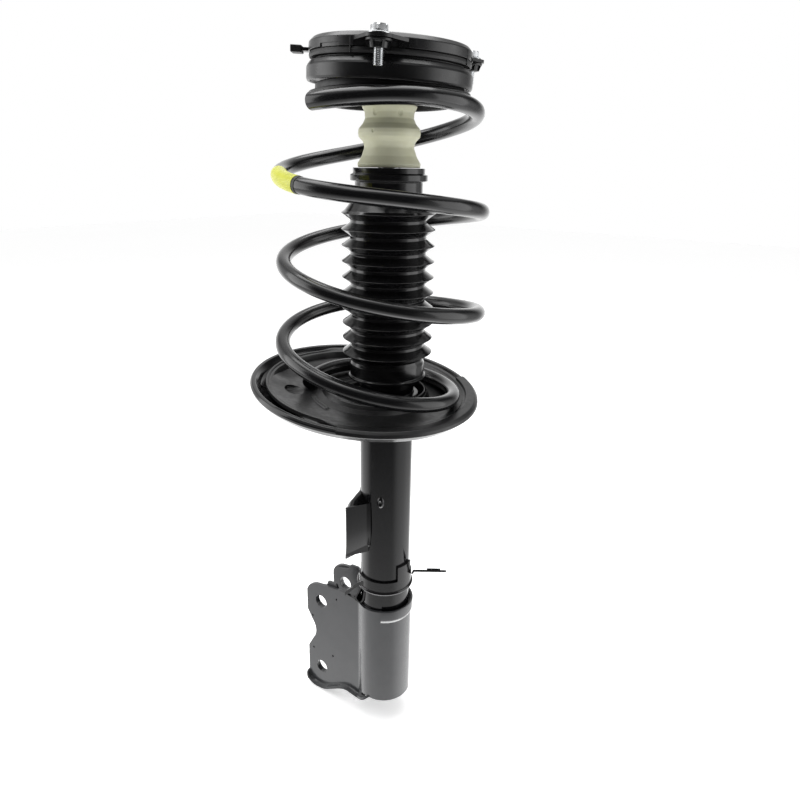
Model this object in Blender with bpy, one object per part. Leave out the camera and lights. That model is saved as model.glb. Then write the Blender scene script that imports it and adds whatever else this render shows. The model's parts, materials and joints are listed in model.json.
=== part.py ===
"""Front suspension strut assembly: damper, coil spring, top mount and knuckle bracket.

Millimetres are used throughout and turned into metres when a mesh is written.
+Z runs up the damper's axis from the centre of the strut tube's bottom face.
The knuckle flanges reach towards -X, with their faces square to Y.
The top mount turns about the bearing's axis, which leans 3 degrees from the damper.
"""

import math

import bmesh
import bpy
from mathutils import Matrix, Vector

MM = 0.001
GAP = 0.3
SIDES = 30
INNER_SIDES = 18

# Strut tube and damper
TUBE_R = 25.5
TUBE_BORE = 23.3
TUBE_TOP = 418.0
LIP_BORE = 14.0
FOOT_HEIGHT = 6.0
CYLINDER_R = 16.0
CYLINDER_BORE = 14.6
CYLINDER_BOTTOM = 20.0
CYLINDER_TOP = 388.0
ROD_R = 10.0
ROD_THREAD_R = 6.0
ROD_SHOULDER = 619.0
ROD_TOP = 640.0
PISTON_Z = 250.0
PISTON_HEIGHT = 18.0

# Knuckle bracket: a sheet wrapped round the tube, with two flanges
SLEEVE_R = 28.8
SLEEVE_BORE = 25.8
SLEEVE_TOP = 117.7
FLANGE_Y = 24.0
FLANGE_SHEET = 3.2
FLANGE_REACH = -92.0
BOLT_HOLE_R = 8.0
UPPER_BOLT = (-70.8, 90.6)
LOWER_BOLT = (-72.5, -0.7)
LINER_SHEET = 2.4

# Stabiliser bracket: plan of the channel (x, y), clockwise from its near wall's root on the tube
CHANNEL_PLAN = ((-0.2, -25.5), (-12.7, -47.2), (-20.2, -36.6), (-24.0, -8.7), (0, -8))
CHANNEL_SHEET = 2.6
CHANNEL_FOOT = 184.0
CHANNEL_TOP = 239.6
LINK_HOLE = (-22.0, -24.0, 214.0)
LINK_HOLE_R = 5.5

# Lower spring seat: dished, leaning up towards -X and set off towards the wheel
SEAT_R = 106.0
SEAT_SHEET = 3.0
RIM_ROLL_R = 3.2
SEAT_Z = 353.0
SEAT_OFFSET = (-16.5, -13.0)
SEAT_LEAN = (-0.117, 0.006)
SEAT_BEND = (28.0, 70.0)
SEAT_FLOOR = (42.0, 49.0, 56.0, 63.0, 70.0)

# Coil spring: (azimuth in degrees, height, distance of the wire from the coil's axis)
WIRE_R = 6.5
COIL_AXIS = (-3.0, -7.0)
COIL_STEPS = 126
BAND_STEPS = (29, 32)
GROOVE_STEP = 94
COIL_STATIONS = (
    (-96, 595.2, 76.0),
    (-25, 598.5, 77.0),
    (65, 586.0, 79.0),
    (155, 560.5, 84.5),
    (245, 539.0, 85.0),
    (335, 525.0, 86.0),
    (425, 509.0, 86.5),
    (515, 489.5, 85.5),
    (605, 466.5, 84.5),
    (695, 440.5, 86.5),
    (785, 424.0, 88.5),
    (875, 416.5, 90.0),
    (965, 394.0, 87.5),
    (1055, 363.0, 81.0),
    (1120, 353.5, 66.0),
    (1180, 354.5, 62.0),
    (1240, 360.8, 61.8),
    (1300, 360.2, 66.0),
)

# Bump stop and boot
BUMP_TOP = 598.0
BUMP_BOTTOM = 550.0
BOOT_TOP = 549.7
BOOT_BOTTOM = 365.5
BOOT_WALL = 1.8
FOLD_COUNT = 10
FOLD_TOP = 513.2
FOLD_PITCH = 13.69
FOLD_R = 41.4
FOLD_ROOT_R = 33.6

# Top mount, placed about the bearing's pivot
PIVOT_Z = 620.0
MOUNT_LEAN = math.radians(3.0)
PLATE_R = 65.5
PLATE_TOP = 23.0
PLATE_SHEET = 3.0
EAR_TOP = PLATE_TOP - 3.9
EAR_SHEET = 2.4
EAR_ROOT_R = 64.0
BOLT_CIRCLE_R = 74.0
MOUNT_BOLT_ANGLES = (-60, 60, 180)
MOUNT_BOLT_R = 4.0
MOUNT_BOLT_REACH = 19.7
MOUNT_NUT_HEIGHT = 6.2
TAB_ANGLE = 215
TAB_REACH = 80.0


def remove_start_objects():
    for start_object in list(bpy.data.objects):
        bpy.data.objects.remove(start_object, do_unlink=True)


def make_material(name, colour, metallic, roughness):
    material = bpy.data.materials.new(name)
    material.use_nodes = True
    shader = material.node_tree.nodes["Principled BSDF"]
    shader.inputs["Base Color"].default_value = (*colour, 1.0)
    shader.inputs["Metallic"].default_value = metallic
    shader.inputs["Roughness"].default_value = roughness
    material.diffuse_color = (*colour, 1.0)
    return material


def steering_frame():
    """Empty on the bearing's pivot, leaning with the top mount."""
    empty = bpy.data.objects.new("steering_axis", None)
    empty.location = (0, 0, PIVOT_Z * MM)
    empty.rotation_euler = (0, MOUNT_LEAN, 0)
    bpy.context.collection.objects.link(empty)
    return empty


def add_object(name, bm, look, parent=None, place=None):
    """Writes a bmesh, in millimetres, as one named object in metres."""
    colour, metallic, roughness = look
    bmesh.ops.remove_doubles(bm, verts=bm.verts, dist=0.0005)
    bmesh.ops.recalc_face_normals(bm, faces=bm.faces)
    bmesh.ops.scale(bm, vec=(MM, MM, MM), verts=bm.verts)
    mesh = bpy.data.meshes.new(name)
    bm.to_mesh(mesh)
    bm.free()
    mesh.shade_smooth()
    mesh.set_sharp_from_angle(angle=math.radians(35))
    mesh.materials.append(make_material(name, colour, metallic, roughness))
    piece = bpy.data.objects.new(name, mesh)
    bpy.context.collection.objects.link(piece)
    if place:
        piece.location = [MM * value for value in place]
    piece.parent = parent
    return piece


def hide_cutter(cutter):
    cutter.hide_render = True
    cutter.display_type = "WIRE"
    return cutter


def add_boolean(piece, tool, operation):
    hide_cutter(tool)
    modifier = piece.modifiers.new(operation.lower(), "BOOLEAN")
    modifier.operation = operation
    modifier.solver = "EXACT"
    modifier.object = tool
    return piece


def hexagon_radius(half_width, angle):
    """Distance from the centre to the edge of a hexagon with a corner at angle 0."""
    turn = angle % (math.pi / 3) - math.pi / 6
    return half_width / math.cos(turn)


def turned(outline, sides=SIDES, warp=None):
    """Closed solid of revolution about Z. A station is (radius, height) or (half width, height, 'hex')."""
    bm = bmesh.new()
    rings = []
    for station in outline:
        radius, height = station[:2]
        if radius == 0:
            rings.append([bm.verts.new((0, 0, height))])
            continue
        ring = []
        for step in range(sides):
            angle = math.tau * step / sides
            reach = hexagon_radius(radius, angle) if len(station) == 3 else radius
            point = Vector((reach * math.cos(angle), reach * math.sin(angle), height))
            ring.append(bm.verts.new(warp(point) if warp else point))
        rings.append(ring)
    for first, second in zip(rings, rings[1:] + rings[:1]):
        if len(first) == 1 and len(second) == 1:
            continue
        for step in range(sides):
            after = (step + 1) % sides
            corners = [first[step % len(first)], first[after % len(first)]]
            corners += [second[after % len(second)], second[step % len(second)]]
            bm.faces.new(list(dict.fromkeys(corners)))
    return bm


def extruded(outline, depth, frame=Matrix.Identity(4)):
    """Prism of a flat outline, from 0 to depth along the frame's Z."""
    bm = bmesh.new()
    base = [bm.verts.new(frame @ Vector((x, y, 0))) for x, y in outline]
    face = bm.faces.new(base)
    lift = (frame.to_3x3() @ Vector((0, 0, 1))) * depth
    grown = bmesh.ops.extrude_face_region(bm, geom=[face])
    top = [item for item in grown["geom"] if isinstance(item, bmesh.types.BMVert)]
    bmesh.ops.translate(bm, vec=lift, verts=top)
    return bm


def arc(radius, start, end, steps, centre=(0, 0)):
    """Points on an arc in a plane, angles in degrees."""
    points = []
    for step in range(steps + 1):
        angle = math.radians(start + (end - start) * step / steps)
        points.append((centre[0] + radius * math.cos(angle), centre[1] + radius * math.sin(angle)))
    return points


def plane_frame(origin, x_axis, y_axis):
    """Matrix whose X and Y lie along the given directions."""
    x_axis = Vector(x_axis).normalized()
    y_axis = Vector(y_axis).normalized()
    z_axis = x_axis.cross(y_axis)
    rows = Matrix((x_axis, y_axis, z_axis)).transposed().to_4x4()
    return Matrix.Translation(Vector(origin)) @ rows


def cylinder_cutter(name, radius, start, end, sides=20):
    """Round cutter between two points."""
    start = Vector(start)
    span = Vector(end) - start
    bm = turned([(0, 0), (radius, 0), (radius, span.length), (0, span.length)], sides)
    turn = Vector((0, 0, 1)).rotation_difference(span).to_matrix().to_4x4()
    bmesh.ops.transform(bm, matrix=Matrix.Translation(start) @ turn, verts=bm.verts)
    return hide_cutter(add_object(name, bm, STEEL))


STEEL = ((0.36, 0.36, 0.38), 1.0, 0.35)
BLACK_PAINT = ((0.018, 0.018, 0.02), 0.0, 0.22)
GREY_PAINT = ((0.11, 0.112, 0.118), 0.2, 0.38)
PLATE_PAINT = ((0.03, 0.03, 0.033), 0.1, 0.45)
RUBBER = ((0.022, 0.022, 0.023), 0.0, 0.7)
BOOT_RUBBER = ((0.014, 0.014, 0.015), 0.0, 0.35)
URETHANE = ((0.69, 0.68, 0.52), 0.0, 0.55)
ZINC = ((0.72, 0.73, 0.74), 1.0, 0.28)
CHROME = ((0.8, 0.8, 0.82), 1.0, 0.08)
BRONZE = ((0.45, 0.33, 0.16), 0.9, 0.4)
YELLOW = ((0.75, 0.76, 0.08), 0.0, 0.5)
PLASTIC = ((0.05, 0.05, 0.055), 0.0, 0.5)


def make_tube():
    outline = [(TUBE_R, 0), (TUBE_R, TUBE_TOP - 3), (TUBE_R - 2.5, TUBE_TOP), (LIP_BORE, TUBE_TOP)]
    outline += [(LIP_BORE, TUBE_TOP - 2), (TUBE_BORE, TUBE_TOP - 2), (TUBE_BORE, 0)]
    add_object("strut_tube", turned(outline), BLACK_PAINT)
    outline = [(0, 0), (TUBE_BORE - GAP, 0), (TUBE_BORE - GAP, FOOT_HEIGHT), (0, FOOT_HEIGHT)]
    add_object("tube_foot", turned(outline), GREY_PAINT)


def make_damper_inside():
    outline = [(CYLINDER_BORE, CYLINDER_BOTTOM), (CYLINDER_R, CYLINDER_BOTTOM)]
    outline += [(CYLINDER_R, CYLINDER_TOP), (CYLINDER_BORE, CYLINDER_TOP)]
    add_object("inner_cylinder", turned(outline, INNER_SIDES), STEEL)
    spigot = CYLINDER_BORE - GAP
    base = FOOT_HEIGHT + GAP
    shelf = CYLINDER_BOTTOM - GAP
    outline = [(0, base + 3), (11, base + 3), (12, base), (19, base), (19, shelf)]
    outline += [(spigot, shelf), (spigot, shelf + 8), (0, shelf + 8)]
    add_object("base_valve", turned(outline, INNER_SIDES), STEEL)
    bush_r = ROD_R + 2.2
    shelf = CYLINDER_TOP + GAP
    top = shelf + 17
    outline = [(bush_r + GAP, shelf - 8), (spigot, shelf - 8), (spigot, shelf)]
    outline += [(TUBE_BORE - GAP, shelf), (TUBE_BORE - GAP, top), (bush_r + GAP, top)]
    add_object("rod_guide", turned(outline, INNER_SIDES), STEEL)
    outline = [(ROD_R + GAP, shelf - 6), (bush_r, shelf - 6), (bush_r, top), (ROD_R + GAP, top)]
    add_object("guide_bush", turned(outline, INNER_SIDES), BRONZE)
    seal = top + GAP
    outline = [(ROD_R + GAP, seal), (TUBE_BORE - GAP, seal), (TUBE_BORE - GAP, seal + 5)]
    outline += [(ROD_R + 3, seal + 5), (ROD_R + 3, TUBE_TOP), (ROD_R + GAP, TUBE_TOP)]
    add_object("oil_seal", turned(outline, INNER_SIDES), RUBBER)


def make_bump_cap():
    inner = TUBE_R + GAP
    top = TUBE_TOP + GAP
    outline = [(inner, top - 16), (inner + 1.5, top - 16), (inner + 1.5, top + 1.5)]
    outline += [(ROD_R + 4, top + 1.5), (ROD_R + 4, top), (inner, top)]
    add_object("bump_cap", turned(outline), GREY_PAINT)


def make_rod():
    bottom = PISTON_Z - 16
    neck = PISTON_Z + PISTON_HEIGHT + GAP
    outline = [(0, bottom), (ROD_THREAD_R, bottom), (ROD_THREAD_R, neck), (ROD_R, neck)]
    outline += [(ROD_R, ROD_SHOULDER), (ROD_THREAD_R, ROD_SHOULDER)]
    outline += [(ROD_THREAD_R, ROD_TOP - 1.5), (ROD_THREAD_R - 1.5, ROD_TOP), (0, ROD_TOP)]
    add_object("piston_rod", turned(outline, INNER_SIDES), CHROME)
    hole = ROD_THREAD_R + GAP
    land = CYLINDER_BORE - 1.5
    low = PISTON_Z + 5
    high = PISTON_Z + 13
    outline = [(hole, PISTON_Z), (land, PISTON_Z), (land, low), (land - 1.5, low)]
    outline += [(land - 1.5, high), (land, high), (land, PISTON_Z + PISTON_HEIGHT)]
    outline += [(hole, PISTON_Z + PISTON_HEIGHT)]
    add_object("piston", turned(outline, INNER_SIDES), STEEL)
    inside = land - 1.5 + GAP
    outline = [(inside, low + GAP), (CYLINDER_BORE - GAP, low + GAP)]
    outline += [(CYLINDER_BORE - GAP, high - GAP), (inside, high - GAP)]
    add_object("piston_ring", turned(outline, INNER_SIDES), PLASTIC)
    top = PISTON_Z - GAP
    outline = [(hole, top - 10), (9, top - 10, "hex"), (9, top, "hex"), (hole, top)]
    add_object("piston_nut", turned(outline, INNER_SIDES), ZINC)
    stop = CYLINDER_TOP - 8 - 12
    outline = [(ROD_R + GAP, stop), (13.2, stop), (13.2, stop + 11), (ROD_R + GAP, stop + 11)]
    add_object("rebound_stop", turned(outline, INNER_SIDES), RUBBER)


def knuckle_side_outline():
    """Side view (x, z) of the bracket: flange with two ears and a scooped edge, then the sleeve."""
    outline = [(40, 0), (40, SLEEVE_TOP), (-8, SLEEVE_TOP - 3), (-17, SLEEVE_TOP - 3.5)]
    outline += [(-30, 117), (-44, 117), (-60, 115)]
    outline += arc(19, 95, 165, 5, (-73.5, 93.5))
    outline += [(FLANGE_REACH, 72)]
    outline += arc(20, 42, -38, 6, (-100, 47.5))
    outline += [(FLANGE_REACH, 21), (FLANGE_REACH - 0.8, -24)]
    outline += [(-88, -30), (-78, -30.5), (-64, -28), (-52, -20), (-40, -14), (-26, -12.5)]
    outline += [(-14, -12), (-13, 0)]
    return outline


def side_frame(y):
    """Frame for a side-view outline: its X is +X, its Y is +Z, and it grows towards -Y."""
    return plane_frame((0, y, 0), (1, 0, 0), (0, 0, 1))


def make_knuckle_bracket():
    bend = math.degrees(math.asin(FLANGE_Y / SLEEVE_R))
    inner_y = FLANGE_Y - FLANGE_SHEET
    inner_bend = math.degrees(math.asin(inner_y / SLEEVE_BORE))
    plan = [(FLANGE_REACH - 4, -FLANGE_Y)]
    plan += arc(SLEEVE_R, -180 + bend, 180 - bend, 28)
    plan += [(FLANGE_REACH - 4, FLANGE_Y), (FLANGE_REACH - 4, inner_y)]
    plan += arc(SLEEVE_BORE, 180 - inner_bend, -180 + inner_bend, 28)
    plan += [(FLANGE_REACH - 4, -inner_y)]
    frame = Matrix.Translation((0, 0, -40))
    bracket = add_object("knuckle_bracket", extruded(plan, 170, frame), GREY_PAINT)
    side = add_object("cut_side", extruded(knuckle_side_outline(), 80, side_frame(40)), STEEL)
    add_boolean(bracket, side, "INTERSECT")
    for number, (x, z) in enumerate((UPPER_BOLT, LOWER_BOLT)):
        hole = cylinder_cutter(f"cut_bolt_{number}", BOLT_HOLE_R, (x, -50, z), (x, 50, z))
        add_boolean(bracket, hole, "DIFFERENCE")


def make_knuckle_liner():
    """Inner plate: a channel lining both flanges, with a web behind the tube and a tab on each wing."""
    outer = FLANGE_Y - FLANGE_SHEET - GAP
    inner = outer - LINER_SHEET
    web = -SLEEVE_BORE - GAP
    plan = [(-88, -outer), (web - 4, -outer), (web, -outer + 5), (web, outer - 5), (web - 4, outer)]
    plan += [(-88, outer), (-88, inner), (web - 5, inner), (web - LINER_SHEET, inner - 4)]
    plan += [(web - LINER_SHEET, -inner + 4), (web - 5, -inner), (-88, -inner)]
    frame = Matrix.Translation((0, 0, -40))
    liner = add_object("knuckle_liner", extruded(plan, 170, frame), GREY_PAINT)
    side = [(-24, -6), (-24, 108), (-48, 111), (-50, 121), (-64, 120), (-66, 110)]
    side += arc(15, 95, 165, 4, (-72, 92)) + [(-86, 70)]
    side += arc(20, 35, -35, 5, (-97, 46)) + [(-86, 20), (-87, -22), (-64, -22), (-44, -8)]
    tool = add_object("cut_liner_side", extruded(side, 80, side_frame(40)), STEEL)
    add_boolean(liner, tool, "INTERSECT")
    for number, (x, z) in enumerate((UPPER_BOLT, LOWER_BOLT)):
        name = f"cut_liner_bolt_{number}"
        hole = cylinder_cutter(name, BOLT_HOLE_R, (x, -50, z), (x, 50, z))
        add_boolean(liner, hole, "DIFFERENCE")


def inset(outline, distance):
    """Convex outline, listed clockwise, with every edge moved inwards."""
    moved = []
    for index, corner in enumerate(outline):
        corner = Vector(corner)
        before = (corner - Vector(outline[index - 1])).normalized()
        after = (Vector(outline[(index + 1) % len(outline)]) - corner).normalized()
        inward = Vector((before.y, -before.x)) + Vector((after.y, -after.x))
        moved.append(tuple(corner + inward * (distance / (1 + before.dot(after)))))
    return moved


def channel_roof(x, y):
    """Height of the stabiliser bracket's sloping roof."""
    return CHANNEL_TOP - 0.34 * x + 0.197 * (y + TUBE_R)


def make_stabiliser_bracket():
    """Folded channel welded to the tube: two walls, an outer plate and a sloping roof, open below."""
    bodies = []
    for plan, drop in ((CHANNEL_PLAN, 0), (inset(CHANNEL_PLAN, CHANNEL_SHEET), CHANNEL_SHEET)):
        foot = CHANNEL_FOOT - 10 * drop
        prism = extruded(plan, 40, Matrix.Translation((0, 0, foot)))
        for vertex in prism.verts:
            if vertex.co.z > foot + 1:
                vertex.co.z = channel_roof(vertex.co.x, vertex.co.y) - drop
        bodies.append(prism)
    bracket = add_object("stabiliser_bracket", bodies[0], BLACK_PAINT)
    add_boolean(bracket, add_object("cut_channel", bodies[1], STEEL), "DIFFERENCE")
    tool = cylinder_cutter("cut_tube_bracket", TUBE_R + GAP, (0, 0, 150), (0, 0, 280), SIDES)
    add_boolean(bracket, tool, "DIFFERENCE")
    x, y, z = LINK_HOLE
    tool = cylinder_cutter("cut_link", LINK_HOLE_R, (x + 8, y, z), (x - 8, y, z), 16)
    add_boolean(bracket, tool, "DIFFERENCE")


def make_hose_bracket():
    """Band round the tube with an upright tab and a pitched arm that holds a hose clip."""
    band = arc(28.0, -125, 100, 24) + arc(24.0, 100, -125, 24)
    bracket = add_object(
        "hose_bracket", extruded(band, 13, Matrix.Translation((0, 0, 138))), BLACK_PAINT
    )
    tab = arc(28.0, -25, 18, 8) + arc(24.0, 18, -25, 8)
    tool = add_object("join_tab", extruded(tab, 29, Matrix.Translation((0, 0, 138.5))), BLACK_PAINT)
    add_boolean(bracket, tool, "UNION")
    azimuth = math.radians(35.3)
    pitch = math.radians(35.0)
    out = Vector((math.cos(azimuth), math.sin(azimuth), 0))
    level = Vector((-math.sin(azimuth), math.cos(azimuth), 0))
    rise = level * math.sin(pitch) + Vector((0, 0, 1)) * math.cos(pitch)
    profile = [(26.5, -12), (29.4, -12), (30.2, 0.4), (31.6, 1.2), (64, 1.2), (64, 3.4)]
    profile += [(30.6, 3.4), (28.4, 1.8), (26.5, -2)]
    centre = Vector((0, 0, 147.5)) - level * 3
    frame = plane_frame(centre, out, rise)
    frame = frame @ Matrix.Translation((0, 0, -11))
    tool = add_object("join_arm", extruded(profile, 22, frame), BLACK_PAINT)
    add_boolean(bracket, tool, "UNION")
    slot = frame @ Matrix.Translation((0, 0, 7))
    outline = [(44, -2), (58, -2), (58, 6), (44, 6)]
    tool = add_object("cut_clip", extruded(outline, 8, slot), STEEL)
    add_boolean(bracket, tool, "DIFFERENCE")
    tool = cylinder_cutter("cut_tube_band", TUBE_R + GAP, (0, 0, 100), (0, 0, 200), SIDES)
    add_boolean(bracket, tool, "DIFFERENCE")


def ease(value):
    value = min(max(value, 0.0), 1.0)
    return value * value * (3 - 2 * value)


def seat_warp(point):
    """Moves a turned point into the lower seat's lean and offset, leaving its collar on the tube."""
    share = ease((point.xy.length - SEAT_BEND[0]) / (SEAT_BEND[1] - SEAT_BEND[0]))
    x = point.x + share * SEAT_OFFSET[0]
    y = point.y + share * SEAT_OFFSET[1]
    lean = SEAT_LEAN[0] * point.x + SEAT_LEAN[1] * point.y
    return Vector((x, y, point.z + share * lean))


def make_lower_seat():
    bore = TUBE_R + GAP
    base = SEAT_Z - 13
    outline = [(bore, base - 14), (bore + SEAT_SHEET, base - 14), (bore + SEAT_SHEET, base - 5)]
    outline += [(34, base - SEAT_SHEET)] + [(radius, base - SEAT_SHEET) for radius in SEAT_FLOOR]
    outline += [(92, base + 6.6), (99.5, base + 10.3)]
    outline += arc(RIM_ROLL_R, -60, 140, 6, (SEAT_R - RIM_ROLL_R, base + 14.3))
    outline += [(99.3, base + 13.6), (91, base + 9.6)]
    outline += [(radius, base) for radius in reversed(SEAT_FLOOR)]
    outline += [(36, base), (30, base + 10), (bore, base + 10)]
    add_object("lower_spring_seat", turned(outline, 36, seat_warp), BLACK_PAINT)


def coil_point(azimuth):
    """Centre of the wire at an azimuth, on a smooth curve through the coil's stations."""
    stations = COIL_STATIONS
    index = 0
    while index < len(stations) - 2 and azimuth > stations[index + 1][0]:
        index += 1
    before = stations[max(index - 1, 0)]
    start, end = stations[index], stations[index + 1]
    after = stations[min(index + 2, len(stations) - 1)]
    span = end[0] - start[0]
    share = (azimuth - start[0]) / span
    values = []
    for column in (1, 2):
        slope_in = (end[column] - before[column]) / (end[0] - before[0]) * span
        slope_out = (after[column] - start[column]) / (after[0] - start[0]) * span
        values.append(
            start[column] * (2 * share**3 - 3 * share**2 + 1)
            + slope_in * (share**3 - 2 * share**2 + share)
            + end[column] * (3 * share**2 - 2 * share**3)
            + slope_out * (share**3 - share**2)
        )
    height, reach = values
    turn = math.radians(azimuth)
    x = COIL_AXIS[0] + reach * math.cos(turn)
    y = COIL_AXIS[1] + reach * math.sin(turn)
    return Vector((x, y, height))


def coil_rings(bm, first_step, last_step, radius, sides=8):
    """Rings of vertices along the wire, at whole steps of the coil."""
    start, end = COIL_STATIONS[0][0], COIL_STATIONS[-1][0]
    rings = []
    for step in range(first_step, last_step + 1):
        azimuth = start + (end - start) * step / COIL_STEPS
        centre = coil_point(azimuth)
        along = (coil_point(azimuth + 0.5) - coil_point(azimuth - 0.5)).normalized()
        sideways = along.cross(Vector((0, 0, 1))).normalized()
        upward = sideways.cross(along)
        ring = []
        for side in range(sides):
            angle = math.tau * side / sides
            offset = sideways * math.cos(angle) + upward * math.sin(angle)
            ring.append(bm.verts.new(centre + offset * radius))
        rings.append(ring)
    return rings


def bridge(bm, first, second):
    sides = len(first)
    for side in range(sides):
        after = (side + 1) % sides
        bm.faces.new((first[side], first[after], second[after], second[side]))


def make_spring():
    bm = bmesh.new()
    rings = coil_rings(bm, 0, COIL_STEPS, WIRE_R)
    for first, second in zip(rings, rings[1:]):
        bridge(bm, first, second)
    bm.faces.new(rings[0])
    bm.faces.new(rings[-1])
    add_object("coil_spring", bm, BLACK_PAINT)
    bm = bmesh.new()
    inside = coil_rings(bm, *BAND_STEPS, WIRE_R + GAP)
    outside = coil_rings(bm, *BAND_STEPS, WIRE_R + 3 * GAP)
    for skin in (inside, outside):
        for first, second in zip(skin, skin[1:]):
            bridge(bm, first, second)
    bridge(bm, inside[0], outside[0])
    bridge(bm, inside[-1], outside[-1])
    add_object("colour_band", bm, YELLOW)


def make_spring_pad():
    """Rubber pad in the lower seat, grooved for the last turn of the wire."""
    base = SEAT_Z - 13 + GAP
    outline = [(radius, base) for radius in SEAT_FLOOR]
    outline += [(90, base + 9.3), (97, base + 13.0), (97.5, base + 17.6), (88, base + 16.4)]
    outline += [(80, base + 14.4), (70, base + 11.4), (56, base + 9.7), (49, base + 13), (42, base + 13)]
    pad = add_object("lower_spring_pad", turned(outline, 36, seat_warp), RUBBER)
    bm = bmesh.new()
    rings = coil_rings(bm, GROOVE_STEP, COIL_STEPS + 1, WIRE_R + GAP)
    for first, second in zip(rings, rings[1:]):
        bridge(bm, first, second)
    bm.faces.new(rings[0])
    bm.faces.new(rings[-1])
    add_boolean(pad, add_object("cut_groove", bm, STEEL), "DIFFERENCE")


def make_bump_stop():
    bore = ROD_R + 0.6
    outline = [(bore, BUMP_BOTTOM), (26.6, BUMP_BOTTOM), (26.8, BUMP_BOTTOM + 3), (23, 559)]
    outline += [(20.8, 566), (22.5, 570.5), (26.0, 574), (26.0, 580), (22.5, 584), (20.3, 588)]
    outline += [(20.6, 592), (23.5, BUMP_TOP), (bore, BUMP_TOP)]
    add_object("bump_stop", turned(outline), URETHANE)


def boot_wall():
    """Outer profile of the boot, from its collar down to its bottom lip."""
    outline = [(30.8, BOOT_TOP), (30.8, 545.5), (33.2, 544.5), (33.2, 539.5), (29.2, 538)]
    outline += [(29.2, 529), (FOLD_ROOT_R, 522)]
    for fold in range(FOLD_COUNT):
        middle = FOLD_TOP - fold * FOLD_PITCH
        outline += [(FOLD_R, middle), (FOLD_ROOT_R, middle - FOLD_PITCH / 2)]
    outline += [(34.6, FOLD_TOP - FOLD_COUNT * FOLD_PITCH + 3), (34.6, BOOT_BOTTOM + 3)]
    outline += [(36.0, BOOT_BOTTOM + 2), (36.0, BOOT_BOTTOM)]
    return outline


def make_boot():
    outer = boot_wall()
    inner = [(radius - BOOT_WALL, height) for radius, height in outer[2:-1]]
    inner = [(27.6, BOOT_TOP), (27.6, 544)] + inner + [(34.2, BOOT_BOTTOM)]
    add_object("dust_boot", turned(outer + inner[::-1], 24), BOOT_RUBBER)


def make_upper_seat(frame):
    """Upper spring seat: a pan with a hemmed wall, a flat floor and a hub on the rod's shoulder."""
    outline = [(ROD_THREAD_R + 1, -0.4), (ROD_THREAD_R + 1, 2.6), (30, 2.6), (34, -3.0), (61, -3.0)]
    outline += [(61.5, 7), (63.5, 7), (67.4, 2.6), (67.4, -7.0), (65.5, -8.0)]
    outline += [(64.5, -6.0), (32, -6.0), (28, -0.4)]
    add_object("upper_spring_seat", turned(outline), PLATE_PAINT, frame)
    outline = [(46, 597), (51.5, 597), (52.5, 605.3), (66, 605.3), (66, 606.6), (61, 607.4)]
    outline += [(60.5, 613), (46, 613)]
    isolator = add_object("upper_isolator", turned(outline), RUBBER)
    limit = [(34, -40), (90, -40), (90, -6.0 - GAP), (34, -6.0 - GAP)]
    tool = add_object("cut_isolator", turned(limit), STEEL, frame)
    add_boolean(isolator, tool, "INTERSECT")


def make_bearing(frame):
    outline = [(38, -2.7), (58, -2.7), (58, -0.6), (54.5, -0.6), (50.5, -1.6), (45.5, -1.6)]
    outline += [(41.5, -0.6), (38, -0.6)]
    add_object("bearing_lower_race", turned(outline), STEEL, frame)
    outline = [(38, 5.9), (58, 5.9), (58, 3.8), (54.5, 3.8), (50.5, 4.8), (45.5, 4.8)]
    outline += [(41.5, 3.8), (38, 3.8)]
    add_object("bearing_upper_race", turned(outline), STEEL, frame)
    outline = [(41, 0.8), (55, 0.8), (55, 2.4), (41, 2.4)]
    cage = add_object("bearing_cage", turned(outline), PLASTIC, frame)
    for number in range(12):
        turn = math.tau * number / 12
        bm = bmesh.new()
        bmesh.ops.create_icosphere(bm, subdivisions=1, radius=2.8)
        place = (48 * math.cos(turn), 48 * math.sin(turn), 1.6)
        bmesh.ops.translate(bm, vec=place, verts=bm.verts)
        ball = add_object(f"join_ball_{number}", bm, STEEL, frame)
        add_boolean(cage, ball, "UNION")


def make_rod_fastening():
    bottom = PIVOT_Z + 3.8
    hole = ROD_THREAD_R + GAP
    outline = [(hole, bottom), (16, bottom), (16, bottom + 2.5), (hole, bottom + 2.5)]
    add_object("rod_washer", turned(outline, INNER_SIDES), ZINC)
    bottom += 2.5 + GAP
    outline = [(hole, bottom), (9.5, bottom, "hex"), (9.5, bottom + 9, "hex"), (hole, bottom + 9)]
    add_object("rod_nut", turned(outline, INNER_SIDES), ZINC)


def ear_outline(angle):
    """Plan of one ear: a round end on the bolt, spreading to the plate's skirt."""
    outline = []
    tip = arc(11, -70, 70, 8, (BOLT_CIRCLE_R, 0))
    root = arc(EAR_ROOT_R, 19, -19, 6)
    turn = math.radians(angle)
    for x, y in tip + root:
        point = (x * math.cos(turn) - y * math.sin(turn), x * math.sin(turn) + y * math.cos(turn))
        outline.append(point)
    return outline


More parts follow.
